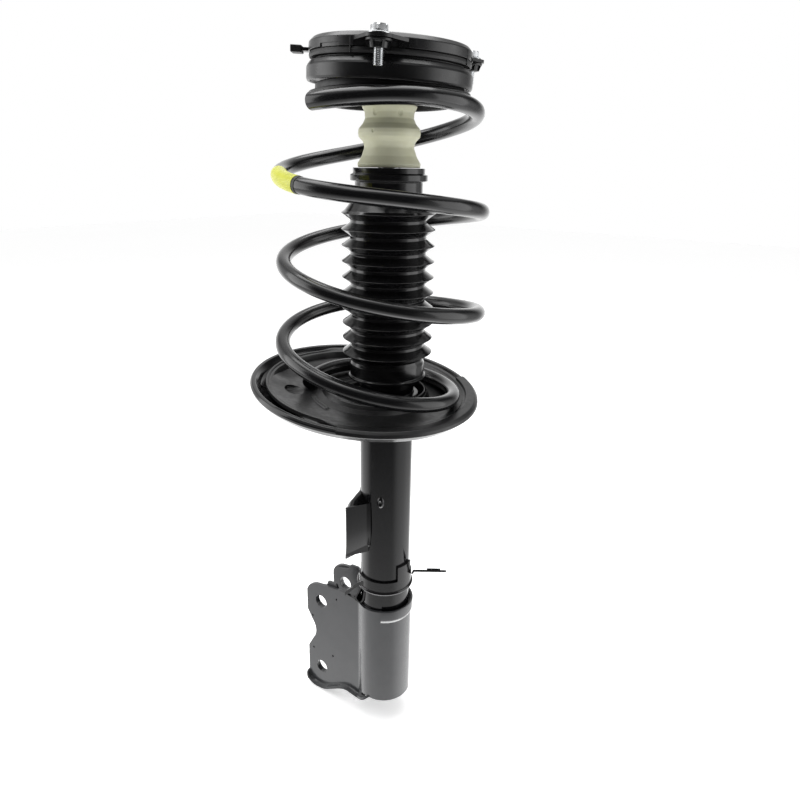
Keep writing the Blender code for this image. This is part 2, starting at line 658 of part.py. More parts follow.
def make_mount(frame):
    """Top plate with three ears and a folded skirt, over a moulded rubber body."""
    under = PLATE_TOP - PLATE_SHEET
    outline = [(30, under), (30, PLATE_TOP), (62, PLATE_TOP), (PLATE_R, PLATE_TOP - 3)]
    outline += [(PLATE_R + 0.4, PLATE_TOP - 10), (PLATE_R - 2.2, PLATE_TOP - 10)]
    outline += [(PLATE_R - 2.6, PLATE_TOP - 4), (61, under)]
    plate = add_object("mount_plate", turned(outline, 36), PLATE_PAINT, frame)
    for number, angle in enumerate(MOUNT_BOLT_ANGLES):
        turn = Matrix.Rotation(math.radians(angle), 4, "Z")
        gap = [(62, -21), (80, -21), (80, 21), (62, 21)]
        ear_under = EAR_TOP - EAR_SHEET
        notch = extruded(gap, 8, turn @ Matrix.Translation((0, 0, ear_under - 8)))
        add_boolean(plate, add_object(f"cut_skirt_{number}", notch, STEEL, frame), "DIFFERENCE")
        ear = extruded(ear_outline(angle), EAR_SHEET, Matrix.Translation((0, 0, ear_under)))
        add_boolean(plate, add_object(f"join_ear_{number}", ear, STEEL, frame), "UNION")
    turn = Matrix.Rotation(math.radians(TAB_ANGLE), 4, "Z")
    tab = [(64.5, -5), (TAB_REACH, -5), (TAB_REACH, 5), (64.5, 5)]
    tongue = extruded(tab, 3, turn @ Matrix.Translation((0, 0, 13.5)))
    add_boolean(plate, add_object("join_tab_arm", tongue, STEEL, frame), "UNION")
    pad = [(TAB_REACH - 8, -6), (TAB_REACH, -6), (TAB_REACH, 6), (TAB_REACH - 8, 6)]
    end = extruded(pad, 5.5, turn @ Matrix.Translation((0, 0, 12.2)))
    add_boolean(plate, add_object("join_tab_end", end, STEEL, frame), "UNION")
    for number, angle in enumerate(MOUNT_BOLT_ANGLES):
        radians = math.radians(angle)
        x, y = BOLT_CIRCLE_R * math.cos(radians), BOLT_CIRCLE_R * math.sin(radians)
        hole = turned([(0, 0), (MOUNT_BOLT_R + GAP, 0), (MOUNT_BOLT_R + GAP, 40), (0, 40)], 16)
        tool = add_object(f"cut_mount_bolt_{number}", hole, STEEL, frame, (x, y, 0))
        add_boolean(plate, hide_cutter(tool), "DIFFERENCE")
    rubber_r = PLATE_R - 2.6 - GAP
    outline = [(22, 8), (33, 8), (36, 6.2), (60, 6.2), (60, 8.6), (PLATE_R, 8.6), (PLATE_R, 12.6)]
    outline += [(rubber_r, 12.6), (rubber_r, 18.6), (61 - GAP, under - GAP), (22, under - GAP)]
    add_object("mount_rubber", turned(outline), RUBBER, frame)


def make_mount_fasteners(frame):
    """Three flange bolts, head up through the ears, each in a captive nut under its ear."""
    ear = EAR_TOP
    nut_top = EAR_TOP - EAR_SHEET - GAP
    nut_foot = nut_top - MOUNT_NUT_HEIGHT
    r = MOUNT_BOLT_R
    for number, angle in enumerate(MOUNT_BOLT_ANGLES, start=1):
        turn = math.radians(angle)
        place = (BOLT_CIRCLE_R * math.cos(turn), BOLT_CIRCLE_R * math.sin(turn), 0)
        head = ear + GAP
        end = ear - MOUNT_BOLT_REACH
        outline = [(0, end), (r - 1, end), (r, end + 1), (r, head), (8.2, head)]
        outline += [(8.0, head + 1), (6, head + 1.4, "hex"), (6, head + 6, "hex"), (0, head + 6)]
        add_object(f"mount_bolt_{number}", turned(outline, INNER_SIDES), ZINC, frame, place)
        hole = r + GAP
        outline = [(hole, nut_foot), (6.5, nut_foot, "hex"), (6.5, nut_top - 2, "hex")]
        outline += [(9.6, nut_top - 1.6), (9.6, nut_top), (hole, nut_top)]
        add_object(f"mount_nut_{number}", turned(outline, INNER_SIDES), PLATE_PAINT, frame, place)


def main():
    remove_start_objects()
    frame = steering_frame()
    make_tube()
    make_damper_inside()
    make_bump_cap()
    make_rod()
    make_knuckle_bracket()
    make_knuckle_liner()
    make_stabiliser_bracket()
    make_hose_bracket()
    make_lower_seat()
    make_spring_pad()
    make_spring()
    make_bump_stop()
    make_boot()
    make_upper_seat(frame)
    make_bearing(frame)
    make_rod_fastening()
    make_mount(frame)
    make_mount_fasteners(frame)


main()
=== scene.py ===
import json
import math

import bmesh
import bpy
from mathutils import Matrix, Vector, noise


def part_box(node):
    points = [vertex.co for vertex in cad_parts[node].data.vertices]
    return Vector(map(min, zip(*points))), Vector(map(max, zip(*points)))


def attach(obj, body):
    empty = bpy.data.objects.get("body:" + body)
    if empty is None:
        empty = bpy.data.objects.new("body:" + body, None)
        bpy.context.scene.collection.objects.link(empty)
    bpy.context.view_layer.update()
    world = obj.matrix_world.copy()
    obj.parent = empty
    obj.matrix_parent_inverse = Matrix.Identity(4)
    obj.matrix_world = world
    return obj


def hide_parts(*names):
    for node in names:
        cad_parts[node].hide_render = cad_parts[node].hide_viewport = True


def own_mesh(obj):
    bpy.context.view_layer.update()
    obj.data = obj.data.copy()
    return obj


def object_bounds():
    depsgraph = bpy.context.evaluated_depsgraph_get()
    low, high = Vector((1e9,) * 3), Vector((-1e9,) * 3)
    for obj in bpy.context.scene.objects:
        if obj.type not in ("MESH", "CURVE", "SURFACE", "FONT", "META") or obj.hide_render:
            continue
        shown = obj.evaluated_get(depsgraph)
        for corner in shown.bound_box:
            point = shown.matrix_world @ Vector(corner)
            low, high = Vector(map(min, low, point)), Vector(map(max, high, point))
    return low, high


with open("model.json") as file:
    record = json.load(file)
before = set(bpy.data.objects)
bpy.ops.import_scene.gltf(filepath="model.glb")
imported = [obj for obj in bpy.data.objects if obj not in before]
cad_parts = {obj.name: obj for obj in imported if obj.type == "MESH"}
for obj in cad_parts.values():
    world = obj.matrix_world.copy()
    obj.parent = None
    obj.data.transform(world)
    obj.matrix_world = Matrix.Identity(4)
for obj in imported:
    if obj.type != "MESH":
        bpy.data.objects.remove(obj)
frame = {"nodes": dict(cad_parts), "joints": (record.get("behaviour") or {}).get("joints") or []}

# Lengths are in millimetres and turned into metres when a mesh is written.
MM = 0.001
GAP = 0.3
MERGE = 0.0005
CAD_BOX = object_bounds()

LOWER, UPPER, TOP = "lower_strut", "upper_strut", "top_mount"

# Camera: azimuth, pitch and roll in degrees, lens in millimetres, place in metres.
CAMERA_TURN = (35.3, 19.841, 1.015)
CAMERA_LENS = 28.962
CAMERA_PLACE = (0.3462, -0.4668, 0.5501)
# Floor, in metres: half its width and how far it lies below the strut; then how brightly it glows.
FLOOR_HALF = 6.0
FLOOR_DROP = 0.0005
FLOOR_GLOW = 0.42

TUBE_R = 25.5
TUBE_BORE = 23.3
TUBE_TOP = 418.0
SEAT_SHIFT = (-16.5, -13.0)
SEAT_LEAN = (-0.117, 0.006)
SEAT_BEND = (28.0, 70.0)
SEAT_FLOOR = 340.0
SEAT_R = 106.0
DRAIN_SLOTS = ((-134, -129, 96.5), (-89, -78, 99.0))
PAD_LIP = (-64, 57)
WIRE_R = 6.5
COIL_AXIS = (-3.0, -7.0)
# Each station of the coil's centre line is (azimuth in degrees, height, reach from the coil's axis).
COIL_STEPS = 660
BAND_ARC = (225.3, 258.6)
COIL_STATIONS = (
    (-96, 595.2, 76.0),
    (-25, 598.5, 77.0),
    (65, 586.0, 79.0),
    (155, 560.5, 84.5),
    (245, 539.0, 85.0),
    (335, 525.0, 86.0),
    (425, 509.0, 86.5),
    (515, 489.5, 85.5),
    (605, 466.5, 84.5),
    (695, 440.5, 86.5),
    (785, 424.0, 88.5),
    (875, 416.5, 90.0),
    (965, 394.0, 87.5),
    (1055, 363.0, 81.0),
    (1120, 353.5, 66.0),
    (1180, 354.5, 62.0),
    (1240, 360.8, 61.8),
    (1300, 360.2, 66.0),
)
BOOT_TOP = 549.7
BOOT_BOTTOM = 365.5
FOLD_COUNT = 10
FOLD_TOP = 513.2
FOLD_PITCH = 13.69
FOLD_R = 41.4
FOLD_ROOT_R = 33.6
BUMP_TOP = 598.0
BUMP_BOTTOM = 550.0
ROD_R = 10.0
ROD_NECK = 268.3
ROD_SHOULDER = 619
UPPER_BOLT = (-70.8, 90.6)
LOWER_BOLT = (-72.5, -0.7)
BOLT_HOLE_R = 8.0
SLEEVE_R = 28.8
SLEEVE_BORE = 25.8
FLANGE_Y = 24.0
FLANGE_SHEET = 3.0
COLLAR_ARC = (-61, 138)
LINK_FOOT = 184.0
LINK_TOP = 239.6
LINK_SHEET = 2.6
ROOF_SLOPE = (-0.34, 0.197)
LINK_HOLE_Z = 214
LINK_HOLE_R = 5.5
PLUG_WELD = (-64.5, 242.5)
ARM_TURN = (35.3, 35.0)
PLATE_TOP = 23.0
EAR_TOP = 19.1
EAR_SHEET = 2.4
BOLT_CIRCLE_R = 74.0
BOLT_REACH = 19.7
NUT_HEIGHT = 6.2
BOLT_ANGLES = (-60, 60, 180)
TAB_ANGLE = 215

STEERING = next(joint for joint in frame["joints"] if joint["name"] == "steering_bearing")
PIVOT = Vector(STEERING["pos_m"]) / MM
LEAN = Vector((0, 0, 1)).rotation_difference(Vector(STEERING["axis"])).to_matrix().to_4x4()
MOUNT = Matrix.Translation(PIVOT) @ LEAN


# ---------------------------------------------------------------- camera


def make_camera():
    """Camera beside the strut, a little below the top mount and tipped down towards the knuckle."""
    azimuth, pitch, roll = (math.radians(angle) for angle in CAMERA_TURN)
    right = Vector((math.cos(azimuth), math.sin(azimuth), 0))
    ahead = Vector((-math.sin(azimuth), math.cos(azimuth), 0))
    forward = ahead * math.cos(pitch) - Vector((0, 0, 1)) * math.sin(pitch)
    above = ahead * math.sin(pitch) + Vector((0, 0, 1)) * math.cos(pitch)
    side = right * math.cos(roll) + above * math.sin(roll)
    top = above * math.cos(roll) - right * math.sin(roll)
    data = bpy.data.cameras.new("camera")
    data.sensor_width = 36.0
    data.lens = CAMERA_LENS
    data.clip_start = 0.02
    camera = bpy.data.objects.new("camera", data)
    turn = Matrix((side, top, -forward)).transposed().to_4x4()
    camera.matrix_world = Matrix.Translation(CAMERA_PLACE) @ turn
    bpy.context.collection.objects.link(camera)
    bpy.context.scene.camera = camera


# ---------------------------------------------------------------- materials


class Nodes:
    """Short way to add and join the nodes of one material or world."""

    def __init__(self, tree):
        self.tree = tree

    def add(self, kind, settings=(), **inputs):
        """New node with its settings, and with numbers or sockets on its named inputs."""
        node = self.tree.nodes.new(kind)
        for key, value in dict(settings).items():
            setattr(node, key, value)
        for key, value in inputs.items():
            socket = node.inputs[key.replace("_", " ")]
            if isinstance(value, bpy.types.NodeSocket):
                self.tree.links.new(value, socket)
            else:
                socket.default_value = value
        return node

    def noise(self, vector, scale, detail=4.0, roughness=0.55):
        inputs = {"Vector": vector, "Scale": scale, "Detail": detail, "Roughness": roughness}
        return self.add("ShaderNodeTexNoise", **inputs).outputs["Fac"]

    def remap(self, value, low, high, to_low, to_high):
        """Smooth step from one range to another."""
        node = self.add("ShaderNodeMapRange", {"interpolation_type": "SMOOTHSTEP"}, Value=value)
        for name, number in zip(("From Min", "From Max", "To Min", "To Max"), (low, high, to_low, to_high)):
            node.inputs[name].default_value = number
        return node.outputs["Result"]

    def maths(self, operation, first, second):
        node = self.add("ShaderNodeMath", {"operation": operation})
        for socket, value in zip(node.inputs, (first, second)):
            if isinstance(value, bpy.types.NodeSocket):
                self.tree.links.new(value, socket)
            else:
                socket.default_value = value
        return node.outputs[0]

    def mix(self, share, first, second):
        """Colour between two colours or sockets."""
        node = self.add("ShaderNodeMix", {"data_type": "RGBA"})
        for socket, value in ((node.inputs[0], share), (node.inputs[6], first), (node.inputs[7], second)):
            if isinstance(value, bpy.types.NodeSocket):
                self.tree.links.new(value, socket)
            elif isinstance(value, tuple):
                socket.default_value = (*value, 1.0)
            else:
                socket.default_value = value
        return node.outputs[2]


def surface(name, colour, second, roughness, grain, **look):
    """Principled material with blotches, uneven gloss, fine grain, faint scuffs and settled dust.

    colour and second are mixed in blotches; roughness is (least, most); grain is (scale, depth in mm).
    """
    settings = {"metallic": 0.0, "ior": 1.45, "blotch": 35.0, "stretch": (1, 1, 1), "wear": None}
    settings |= {"dust": 0.0, "pores": None, "lines": None, "coat": 0.0, "soft": 0.0}
    settings |= look
    material = bpy.data.materials.new(name)
    material.use_nodes = True
    nodes = Nodes(material.node_tree)
    shader = material.node_tree.nodes["Principled BSDF"]
    point = nodes.add("ShaderNodeTexCoord").outputs["Object"]
    stretched = nodes.add("ShaderNodeMapping", Vector=point, Scale=settings["stretch"]).outputs["Vector"]
    blotch = nodes.noise(stretched, settings["blotch"])
    base = nodes.mix(nodes.remap(blotch, 0.3, 0.7, 0, 1), colour, second)
    if settings["dust"]:
        normal = nodes.add("ShaderNodeNewGeometry").outputs["Normal"]
        facing = nodes.add("ShaderNodeSeparateXYZ", Vector=normal).outputs["Z"]
        settled = nodes.remap(facing, 0.35, 1.0, 0, settings["dust"])
        patchy = nodes.maths("MULTIPLY", settled, nodes.noise(point, settings["blotch"] * 5, 6.0, 0.7))
        base = nodes.mix(patchy, base, (0.34, 0.33, 0.31))
    gloss = nodes.remap(nodes.noise(stretched, settings["blotch"] * 3.1), 0.25, 0.75, *roughness)
    if settings["wear"]:
        drawn = nodes.add("ShaderNodeMapping", Vector=point, Scale=(1, 1, 0.16)).outputs["Vector"]
        scuffs = nodes.remap(nodes.noise(drawn, 210, 2.0, 0.4), 0.66, 0.76, 0, 0.2)
        base = nodes.mix(scuffs, base, settings["wear"])
        gloss = nodes.maths("ADD", gloss, nodes.maths("MULTIPLY", scuffs, 0.1))
    scale, depth = grain
    heights = [(nodes.noise(stretched, scale, 3.0), depth)]
    if settings["pores"]:
        scale, depth = settings["pores"]
        cells = nodes.add("ShaderNodeTexVoronoi", Vector=point, Scale=scale).outputs["Distance"]
        heights.append((nodes.remap(cells, 0.0, 0.28, 0, 1), depth))
    if settings["lines"]:
        pitch, depth = settings["lines"]
        turning = nodes.add("ShaderNodeMapping", Vector=point, Scale=(1, 1, pitch)).outputs["Vector"]
        heights.append((nodes.noise(turning, 6.0, 2.0), depth))
    relief = {}
    for height, depth in heights:
        bump = nodes.add("ShaderNodeBump", Height=height, Strength=1.0, Distance=depth * MM, **relief)
        relief = {"Normal": bump.outputs["Normal"]}
    links = material.node_tree.links
    links.new(base, shader.inputs["Base Color"])
    links.new(gloss, shader.inputs["Roughness"])
    links.new(relief["Normal"], shader.inputs["Normal"])
    shader.inputs["Metallic"].default_value = settings["metallic"]
    shader.inputs["IOR"].default_value = settings["ior"]
    shader.inputs["Coat Weight"].default_value = settings["coat"]
    shader.inputs["Coat Roughness"].default_value = 0.12
    if settings["soft"]:
        shader.inputs["Subsurface Weight"].default_value = settings["soft"]
        shader.inputs["Subsurface Radius"].default_value = (0.004, 0.0035, 0.002)
        shader.inputs["Subsurface Scale"].default_value = 1.0
    return material


def make_materials():
    """Every finish on the strut by name, each with the record's slot that it belongs to.

    A finish is (slot, colour, second colour, roughness, grain, other looks), as surface() takes them.
    """
    black, worn, scraped = (0.0035, 0.0035, 0.004), (0.02, 0.02, 0.021), (0.03, 0.03, 0.031)
    black_patch = (0.005, 0.005, 0.0056)
    rubber = (0.006, 0.006, 0.0065)
    finishes = {
        "spring_powder": ("black_paint", black, (0.005, 0.005, 0.0055), (0.16, 0.22), (380, 0.006),
                          {"wear": worn, "dust": 0.006}),
        "tube_paint": ("black_paint", black, black_patch, (0.1, 0.16), (260, 0.004),
                       {"stretch": (1, 1, 0.25), "wear": worn, "dust": 0.01}),
        "seat_paint": ("black_paint", black, black_patch, (0.12, 0.2), (300, 0.006),
                       {"wear": worn, "dust": 0.012}),
        "bracket_paint": ("grey_paint", (0.040, 0.041, 0.044), (0.046, 0.047, 0.050), (0.18, 0.24),
                          (420, 0.005),
                          {"ior": 1.5, "wear": (0.055, 0.055, 0.058), "dust": 0.01, "coat": 0.35}),
        "hose_paint": ("black_paint", (0.005, 0.005, 0.0055), (0.008, 0.008, 0.0085), (0.16, 0.24),
                       (420, 0.006), {"wear": scraped, "dust": 0.015}),
        "plate_paint": ("mount_paint", (0.004, 0.004, 0.0046), (0.006, 0.006, 0.0066), (0.26, 0.36),
                        (500, 0.008), {"wear": scraped, "dust": 0.02}),
        "moulded_rubber": ("rubber", rubber, (0.009, 0.009, 0.0095), (0.42, 0.54), (900, 0.01),
                           {"blotch": 60.0, "dust": 0.01, "pores": (1100, 0.002)}),
        "pad_rubber": ("rubber", rubber, (0.010, 0.010, 0.0105), (0.3, 0.42), (700, 0.012),
                       {"blotch": 70.0, "dust": 0.008, "pores": (900, 0.003)}),
        "boot_rubber": ("boot_rubber", (0.003, 0.003, 0.0034), (0.0045, 0.0045, 0.005), (0.13, 0.2),
                        (500, 0.005), {"dust": 0.008}),
        "urethane": ("urethane", (0.50, 0.50, 0.355), (0.56, 0.56, 0.42), (0.45, 0.6), (600, 0.02),
                     {"blotch": 45.0, "pores": (1300, 0.01), "soft": 0.12}),
        "zinc": ("zinc", (0.52, 0.53, 0.54), (0.58, 0.59, 0.60), (0.26, 0.34), (900, 0.002),
                 {"metallic": 1.0, "blotch": 120.0}),
        "chrome": ("chrome", (0.78, 0.78, 0.8), (0.84, 0.84, 0.86), (0.06, 0.12), (1200, 0.001),
                   {"metallic": 1.0}),
        "machined_steel": ("steel", (0.42, 0.42, 0.43), (0.52, 0.52, 0.53), (0.24, 0.38), (900, 0.002),
                           {"metallic": 1.0, "lines": (900, 0.004)}),
        "sintered_iron": ("", (0.16, 0.155, 0.15), (0.22, 0.215, 0.21), (0.42, 0.6), (1500, 0.008),
                          {"metallic": 0.9, "pores": (1800, 0.006)}),
        "bronze": ("", (0.42, 0.29, 0.13), (0.5, 0.36, 0.18), (0.25, 0.4), (900, 0.004),
                   {"metallic": 1.0, "lines": (700, 0.004)}),
        "seal_rubber": ("", (0.012, 0.012, 0.013), (0.02, 0.02, 0.021), (0.4, 0.55), (800, 0.01), {}),
        "nylon": ("", (0.045, 0.045, 0.05), (0.06, 0.06, 0.066), (0.35, 0.5), (700, 0.006), {"ior": 1.5}),
        "yellow_wrap": ("yellow_wrap", (0.50, 0.52, 0.03), (0.57, 0.58, 0.055), (0.3, 0.42), (500, 0.01),
                        {"blotch": 90.0}),
        "wrap_edge": ("rubber", (0.012, 0.013, 0.008), (0.02, 0.021, 0.012), (0.5, 0.6), (600, 0.01), {}),
        "threads": ("zinc", (0.5, 0.51, 0.52), (0.66, 0.67, 0.68), (0.24, 0.34), (900, 0.004),
                    {"metallic": 1.0, "blotch": 150.0}),
    }
    return {name: (surface(name, *look, **other), slot) for name, (slot, *look, other) in finishes.items()}


# ---------------------------------------------------------------- mesh tools


def rounded(outline, steps=4):
    """A closed outline whose corners with a third value are rounded to about that radius."""
    result = []
    for index, point in enumerate(outline):
        corner = Vector(point[:2])
        if len(point) < 3:
            result.append(corner)
            continue
        before = Vector(outline[index - 1][:2]) - corner
        after = Vector(outline[(index + 1) % len(outline)][:2]) - corner
        half = before.angle(after) / 2
        reach = min(point[2] / math.tan(half), 0.48 * before.length, 0.48 * after.length)
        start = corner + before.normalized() * reach
        end = corner + after.normalized() * reach
        for step in range(steps + 1):
            share = step / steps
            bend = start * (1 - share) ** 2 + corner * 2 * share * (1 - share) + end * share**2
            result.append(bend)
    return [tuple(point) for point in result]


def smooth_line(points, steps=8):
    """Catmull-Rom curve through points of any dimension."""
    points = [Vector(point) for point in points]
    padded = [points[0] * 2 - points[1], *points, points[-1] * 2 - points[-2]]
    line = []
    for a, b, c, d in zip(padded, padded[1:], padded[2:], padded[3:]):
        for step in range(steps):
            t = step / steps
            square, cube = a * 2 - b * 5 + c * 4 - d, b * 3 - a - c * 3 + d
            line.append(0.5 * (b * 2 + (c - a) * t + square * t**2 + cube * t**3))
    line.append(points[-1])
    return line


def polar(radius, angle, height=0.0):
    """Point at a radius and an angle in degrees round Z."""
    turn = math.radians(angle)
    return Vector((radius * math.cos(turn), radius * math.sin(turn), height))


def arc(radius, start, end, steps, centre=(0, 0)):
    """Points (x, y) along an arc between two angles in degrees."""
    points = []
    for step in range(steps + 1):
        spot = polar(radius, start + (end - start) * step / steps)
        points.append((centre[0] + spot.x, centre[1] + spot.y))
    return points


def lift(height):
    """Move along Z."""
    return Matrix.Translation((0, 0, height))


def raised(height, outline):
    """Outline of (radius, height) moved up."""
    return [(radius, level + height, *corner) for radius, level, *corner in outline]


def bridge(bm, first, second):
    """Faces between two rings of the same count."""
    for side in range(len(first)):
        after = (side + 1) % len(first)
        bm.faces.new((first[side], first[after], second[after], second[side]))


def hexagon_radius(half_width, angle):
    """Reach of a hexagon's side at an angle."""
    return half_width / math.cos(angle % (math.pi / 3) - math.pi / 6)


def turned(outline, sides=160, warp=None):
    """Closed solid of revolution about Z from a closed outline of (radius, height)."""
    bm = bmesh.new()
    rings = []
    for radius, height in rounded(outline):
        if radius < 1e-6:
            rings.append([bm.verts.new(Vector((0, 0, height)))])
            continue
        ring = []
        for step in range(sides):
            angle = math.tau * step / sides
            point = Vector((radius * math.cos(angle), radius * math.sin(angle), height))
            ring.append(bm.verts.new(warp(point) if warp else point))
        rings.append(ring)
    for first, second in zip(rings, rings[1:] + rings[:1]):
        if len(first) == 1 and len(second) == 1:
            continue
        for step in range(sides):
            after = (step + 1) % sides
            corners = [first[step % len(first)], first[after % len(first)]]
            corners += [second[after % len(second)], second[step % len(second)]]
            bm.faces.new(list(dict.fromkeys(corners)))
    return bm


def extruded(outline, depth, place=Matrix.Identity(4)):
    """Prism of a flat outline, from 0 to depth along the place's Z."""
    bm = bmesh.new()
    face = bm.faces.new([bm.verts.new(Vector((x, y, 0))) for x, y in rounded(outline)])
    grown = bmesh.ops.extrude_face_region(bm, geom=[face])
    moved = [item for item in grown["geom"] if isinstance(item, bmesh.types.BMVert)]
    bmesh.ops.translate(bm, vec=(0, 0, depth), verts=moved)
    bmesh.ops.transform(bm, matrix=place, verts=bm.verts)
    return bm


def swept(rings):
    """Closed tube through rings of points that have the same count."""
    bm = bmesh.new()
    made = [[bm.verts.new(point) for point in ring] for ring in rings]
    for first, second in zip(made, made[1:]):
        bridge(bm, first, second)
    bm.faces.new(made[0])
    bm.faces.new(made[-1])
    return bm


def bead(points, radius, sides=14, lumps=0.18):
    """Weld bead or rope along points, with the ripples of the weld pool."""
    line = smooth_line(points, 6)
    rings = []
    for index, centre in enumerate(line):
        ahead = line[min(index + 1, len(line) - 1)] - line[max(index - 1, 0)]
        across = ahead.cross(Vector((0, 0, 1)) if abs(ahead.normalized().z) < 0.8 else Vector((1, 0, 0)))
        across.normalize()
        up = across.cross(ahead).normalized()
        taper = min(1.0, 0.35 + 0.35 * min(index, len(line) - 1 - index))
        ring = []
        for side in range(sides):
            angle = math.tau * side / sides
            direction = across * math.cos(angle) + up * math.sin(angle)
            lump = 1 + lumps * noise.noise((centre + direction * radius) * 0.7)
            ring.append(centre + direction * radius * taper * lump)
        rings.append(ring)
    return swept(rings)


def cylinder(radius, start, end, sides=64):
    """Round rod between two points."""
    start = Vector(start)
    span = Vector(end) - start
    bm = turned([(0, 0), (radius, 0), (radius, span.length), (0, span.length)], sides)
    turn = Vector((0, 0, 1)).rotation_difference(span).to_matrix().to_4x4()
    bmesh.ops.transform(bm, matrix=Matrix.Translation(start) @ turn, verts=bm.verts)
    return bm


def ball(centre, radius, squash=(1, 1, 1)):
    """Sphere, stretched along its axes."""
    bm = bmesh.new()
    bmesh.ops.create_uvsphere(bm, u_segments=24, v_segments=14, radius=radius)
    bmesh.ops.scale(bm, vec=squash, verts=bm.verts)
    bmesh.ops.translate(bm, vec=centre, verts=bm.verts)
    return bm


def to_object(name, bm, place=None):
    """Object from a bmesh in millimetres, which it uses up."""
    bmesh.ops.remove_doubles(bm, verts=bm.verts, dist=MERGE)
    bmesh.ops.recalc_face_normals(bm, faces=bm.faces)
    if place:
        bmesh.ops.transform(bm, matrix=place, verts=bm.verts)
    bmesh.ops.scale(bm, vec=(MM, MM, MM), verts=bm.verts)
    mesh = bpy.data.meshes.new(name)
    bm.to_mesh(mesh)
    bm.free()
    made = bpy.data.objects.new(name, mesh)
    bpy.context.collection.objects.link(made)
    return made


def move(piece, place):
    """Moves the piece's mesh by a matrix in millimetres."""
    piece.data.transform(Matrix.Scale(MM, 4) @ place @ Matrix.Scale(1 / MM, 4))


def bake(piece):
    """Turns the piece's modifiers into its mesh."""
    graph = bpy.context.evaluated_depsgraph_get()
    mesh = bpy.data.meshes.new_from_object(piece.evaluated_get(graph))
    piece.modifiers.clear()
    piece.data = mesh


def combine(piece, operation, bm):
    """Boolean of the piece with a bmesh in millimetres."""
    tool = to_object("tool", bm)
    modifier = piece.modifiers.new("combine", "BOOLEAN")
    modifier.operation = operation
    modifier.solver = "EXACT"
    modifier.object = tool
    bake(piece)
    bpy.data.objects.remove(tool, do_unlink=True)


def cut(piece, bm):
    """Takes a solid out of the piece."""
    combine(piece, "DIFFERENCE", bm)


def join(piece, bm):
    """Adds a solid to the piece."""
    combine(piece, "UNION", bm)


def trim(piece, bm):
    """Keeps what lies inside a solid."""
    combine(piece, "INTERSECT", bm)


def soften(piece, width, segments=3, angle=32):
    """Rounds the piece's sharp edges."""
    weld = piece.modifiers.new("weld", "WELD")
    weld.merge_threshold = 0.02 * MM
    bevel = piece.modifiers.new("bevel", "BEVEL")
    bevel.width = width * MM
    bevel.segments = segments
    bevel.limit_method = "ANGLE"
    bevel.angle_limit = math.radians(angle)
    bevel.use_clamp_overlap = True
    bake(piece)
    return piece


def finish_piece(piece, finish, body, *stands_for, sharp=38):
    """Gives the piece its finish, smooth shading and body, and hides the CAD nodes it stands for."""
    material, slot = MATERIALS[finish]
    piece.data.materials.clear()
    piece.data.materials.append(material)
    piece.data.shade_smooth()
    piece.data.set_sharp_from_angle(angle=math.radians(sharp))
    weighted = piece.modifiers.new("weighted", "WEIGHTED_NORMAL")
    weighted.keep_sharp = True
    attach(piece, body)
    if stands_for:
        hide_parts(*stands_for)
    return piece


def add_piece(name, bm, finish, body, *stands_for, place=None, sharp=38):
    """Object made and finished in one go."""
    return finish_piece(to_object(name, bm, place), finish, body, *stands_for, sharp=sharp)


def plane_frame(origin, x_axis, y_axis):
    """Place whose X and Y run along two square directions."""
    x_axis = Vector(x_axis).normalized()
    y_axis = Vector(y_axis).normalized()
    turn = Matrix((x_axis, y_axis, x_axis.cross(y_axis))).transposed().to_4x4()
    return Matrix.Translation(Vector(origin)) @ turn


def ease(value):
    """Smooth step from 0 to 1."""
    value = min(max(value, 0.0), 1.0)
    return value * value * (3 - 2 * value)


# ---------------------------------------------------------------- strut tube


def make_tube():
    """Strut tube with the cap in its foot and the bump cap on its top."""
    outline = [(TUBE_R, 0, 0.8), (TUBE_R, TUBE_TOP, 2.6), (14, TUBE_TOP, 0.4), (14, TUBE_TOP - 2)]
    outline += [(TUBE_BORE, TUBE_TOP - 2), (TUBE_BORE, 0, 0.5)]
    add_piece("tube_shell", turned(outline, 144), "tube_paint", LOWER, "strut_tube")
    rim = TUBE_BORE - GAP
    outline = [(0, 1.6), (9, 1.6, 1), (11, 0, 1), (rim, 0, 0.6), (rim, 6, 0.6), (0, 6)]
    add_piece("tube_foot_cap", turned(outline, 96), "bracket_paint", LOWER, "tube_foot")
    cap_r = TUBE_R + GAP
    low, high = TUBE_TOP - 15.7, TUBE_TOP + 1.8
    outline = [(cap_r, low), (cap_r + 1.5, low, 0.4), (cap_r + 1.5, high, 1.4), (ROD_R + 4, high, 0.6)]
    outline += [(ROD_R + 4, TUBE_TOP + GAP), (cap_r, TUBE_TOP + GAP)]
    add_piece("bump_cap_pressing", turned(outline, 96), "bracket_paint", LOWER, "bump_cap")


def make_tube_welds():
    """Fillet welds that hold the brackets, the knuckle sleeve and the seat on the tube."""
    beads = []
    ring = [(TUBE_R + 0.6, angle, 325.0) for angle in range(0, 361, 12)]
    beads.append((ring, 1.7))
    beads.append(([(TUBE_R + 0.4, -93, z) for z in range(190, 236, 6)], 1.6))
    beads.append(([(TUBE_R + 0.4, -159, z) for z in range(190, 250, 6)], 1.6))
    ring = [(TUBE_R + 0.3, angle, 1.2) for angle in range(-110, 111, 10)]
    beads.append((ring, 1.2))
    for number, (route, radius) in enumerate(beads, start=1):
        points = [polar(*stop) for stop in route]
        add_piece(f"weld_{number}", bead(points, radius), "tube_paint", LOWER, sharp=60)
    angle, height = PLUG_WELD
    spot = to_object("plug_weld", ball(polar(TUBE_R - 1.2, angle, height), 4.0, (1, 1, 1.6)))
    cut(spot, ball(polar(TUBE_R + 3.8, angle, height), 2.6, (1, 1, 1.6)))
    soften(spot, 0.3)
    finish_piece(spot, "tube_paint", LOWER, sharp=60)


# ---------------------------------------------------------------- knuckle bracket


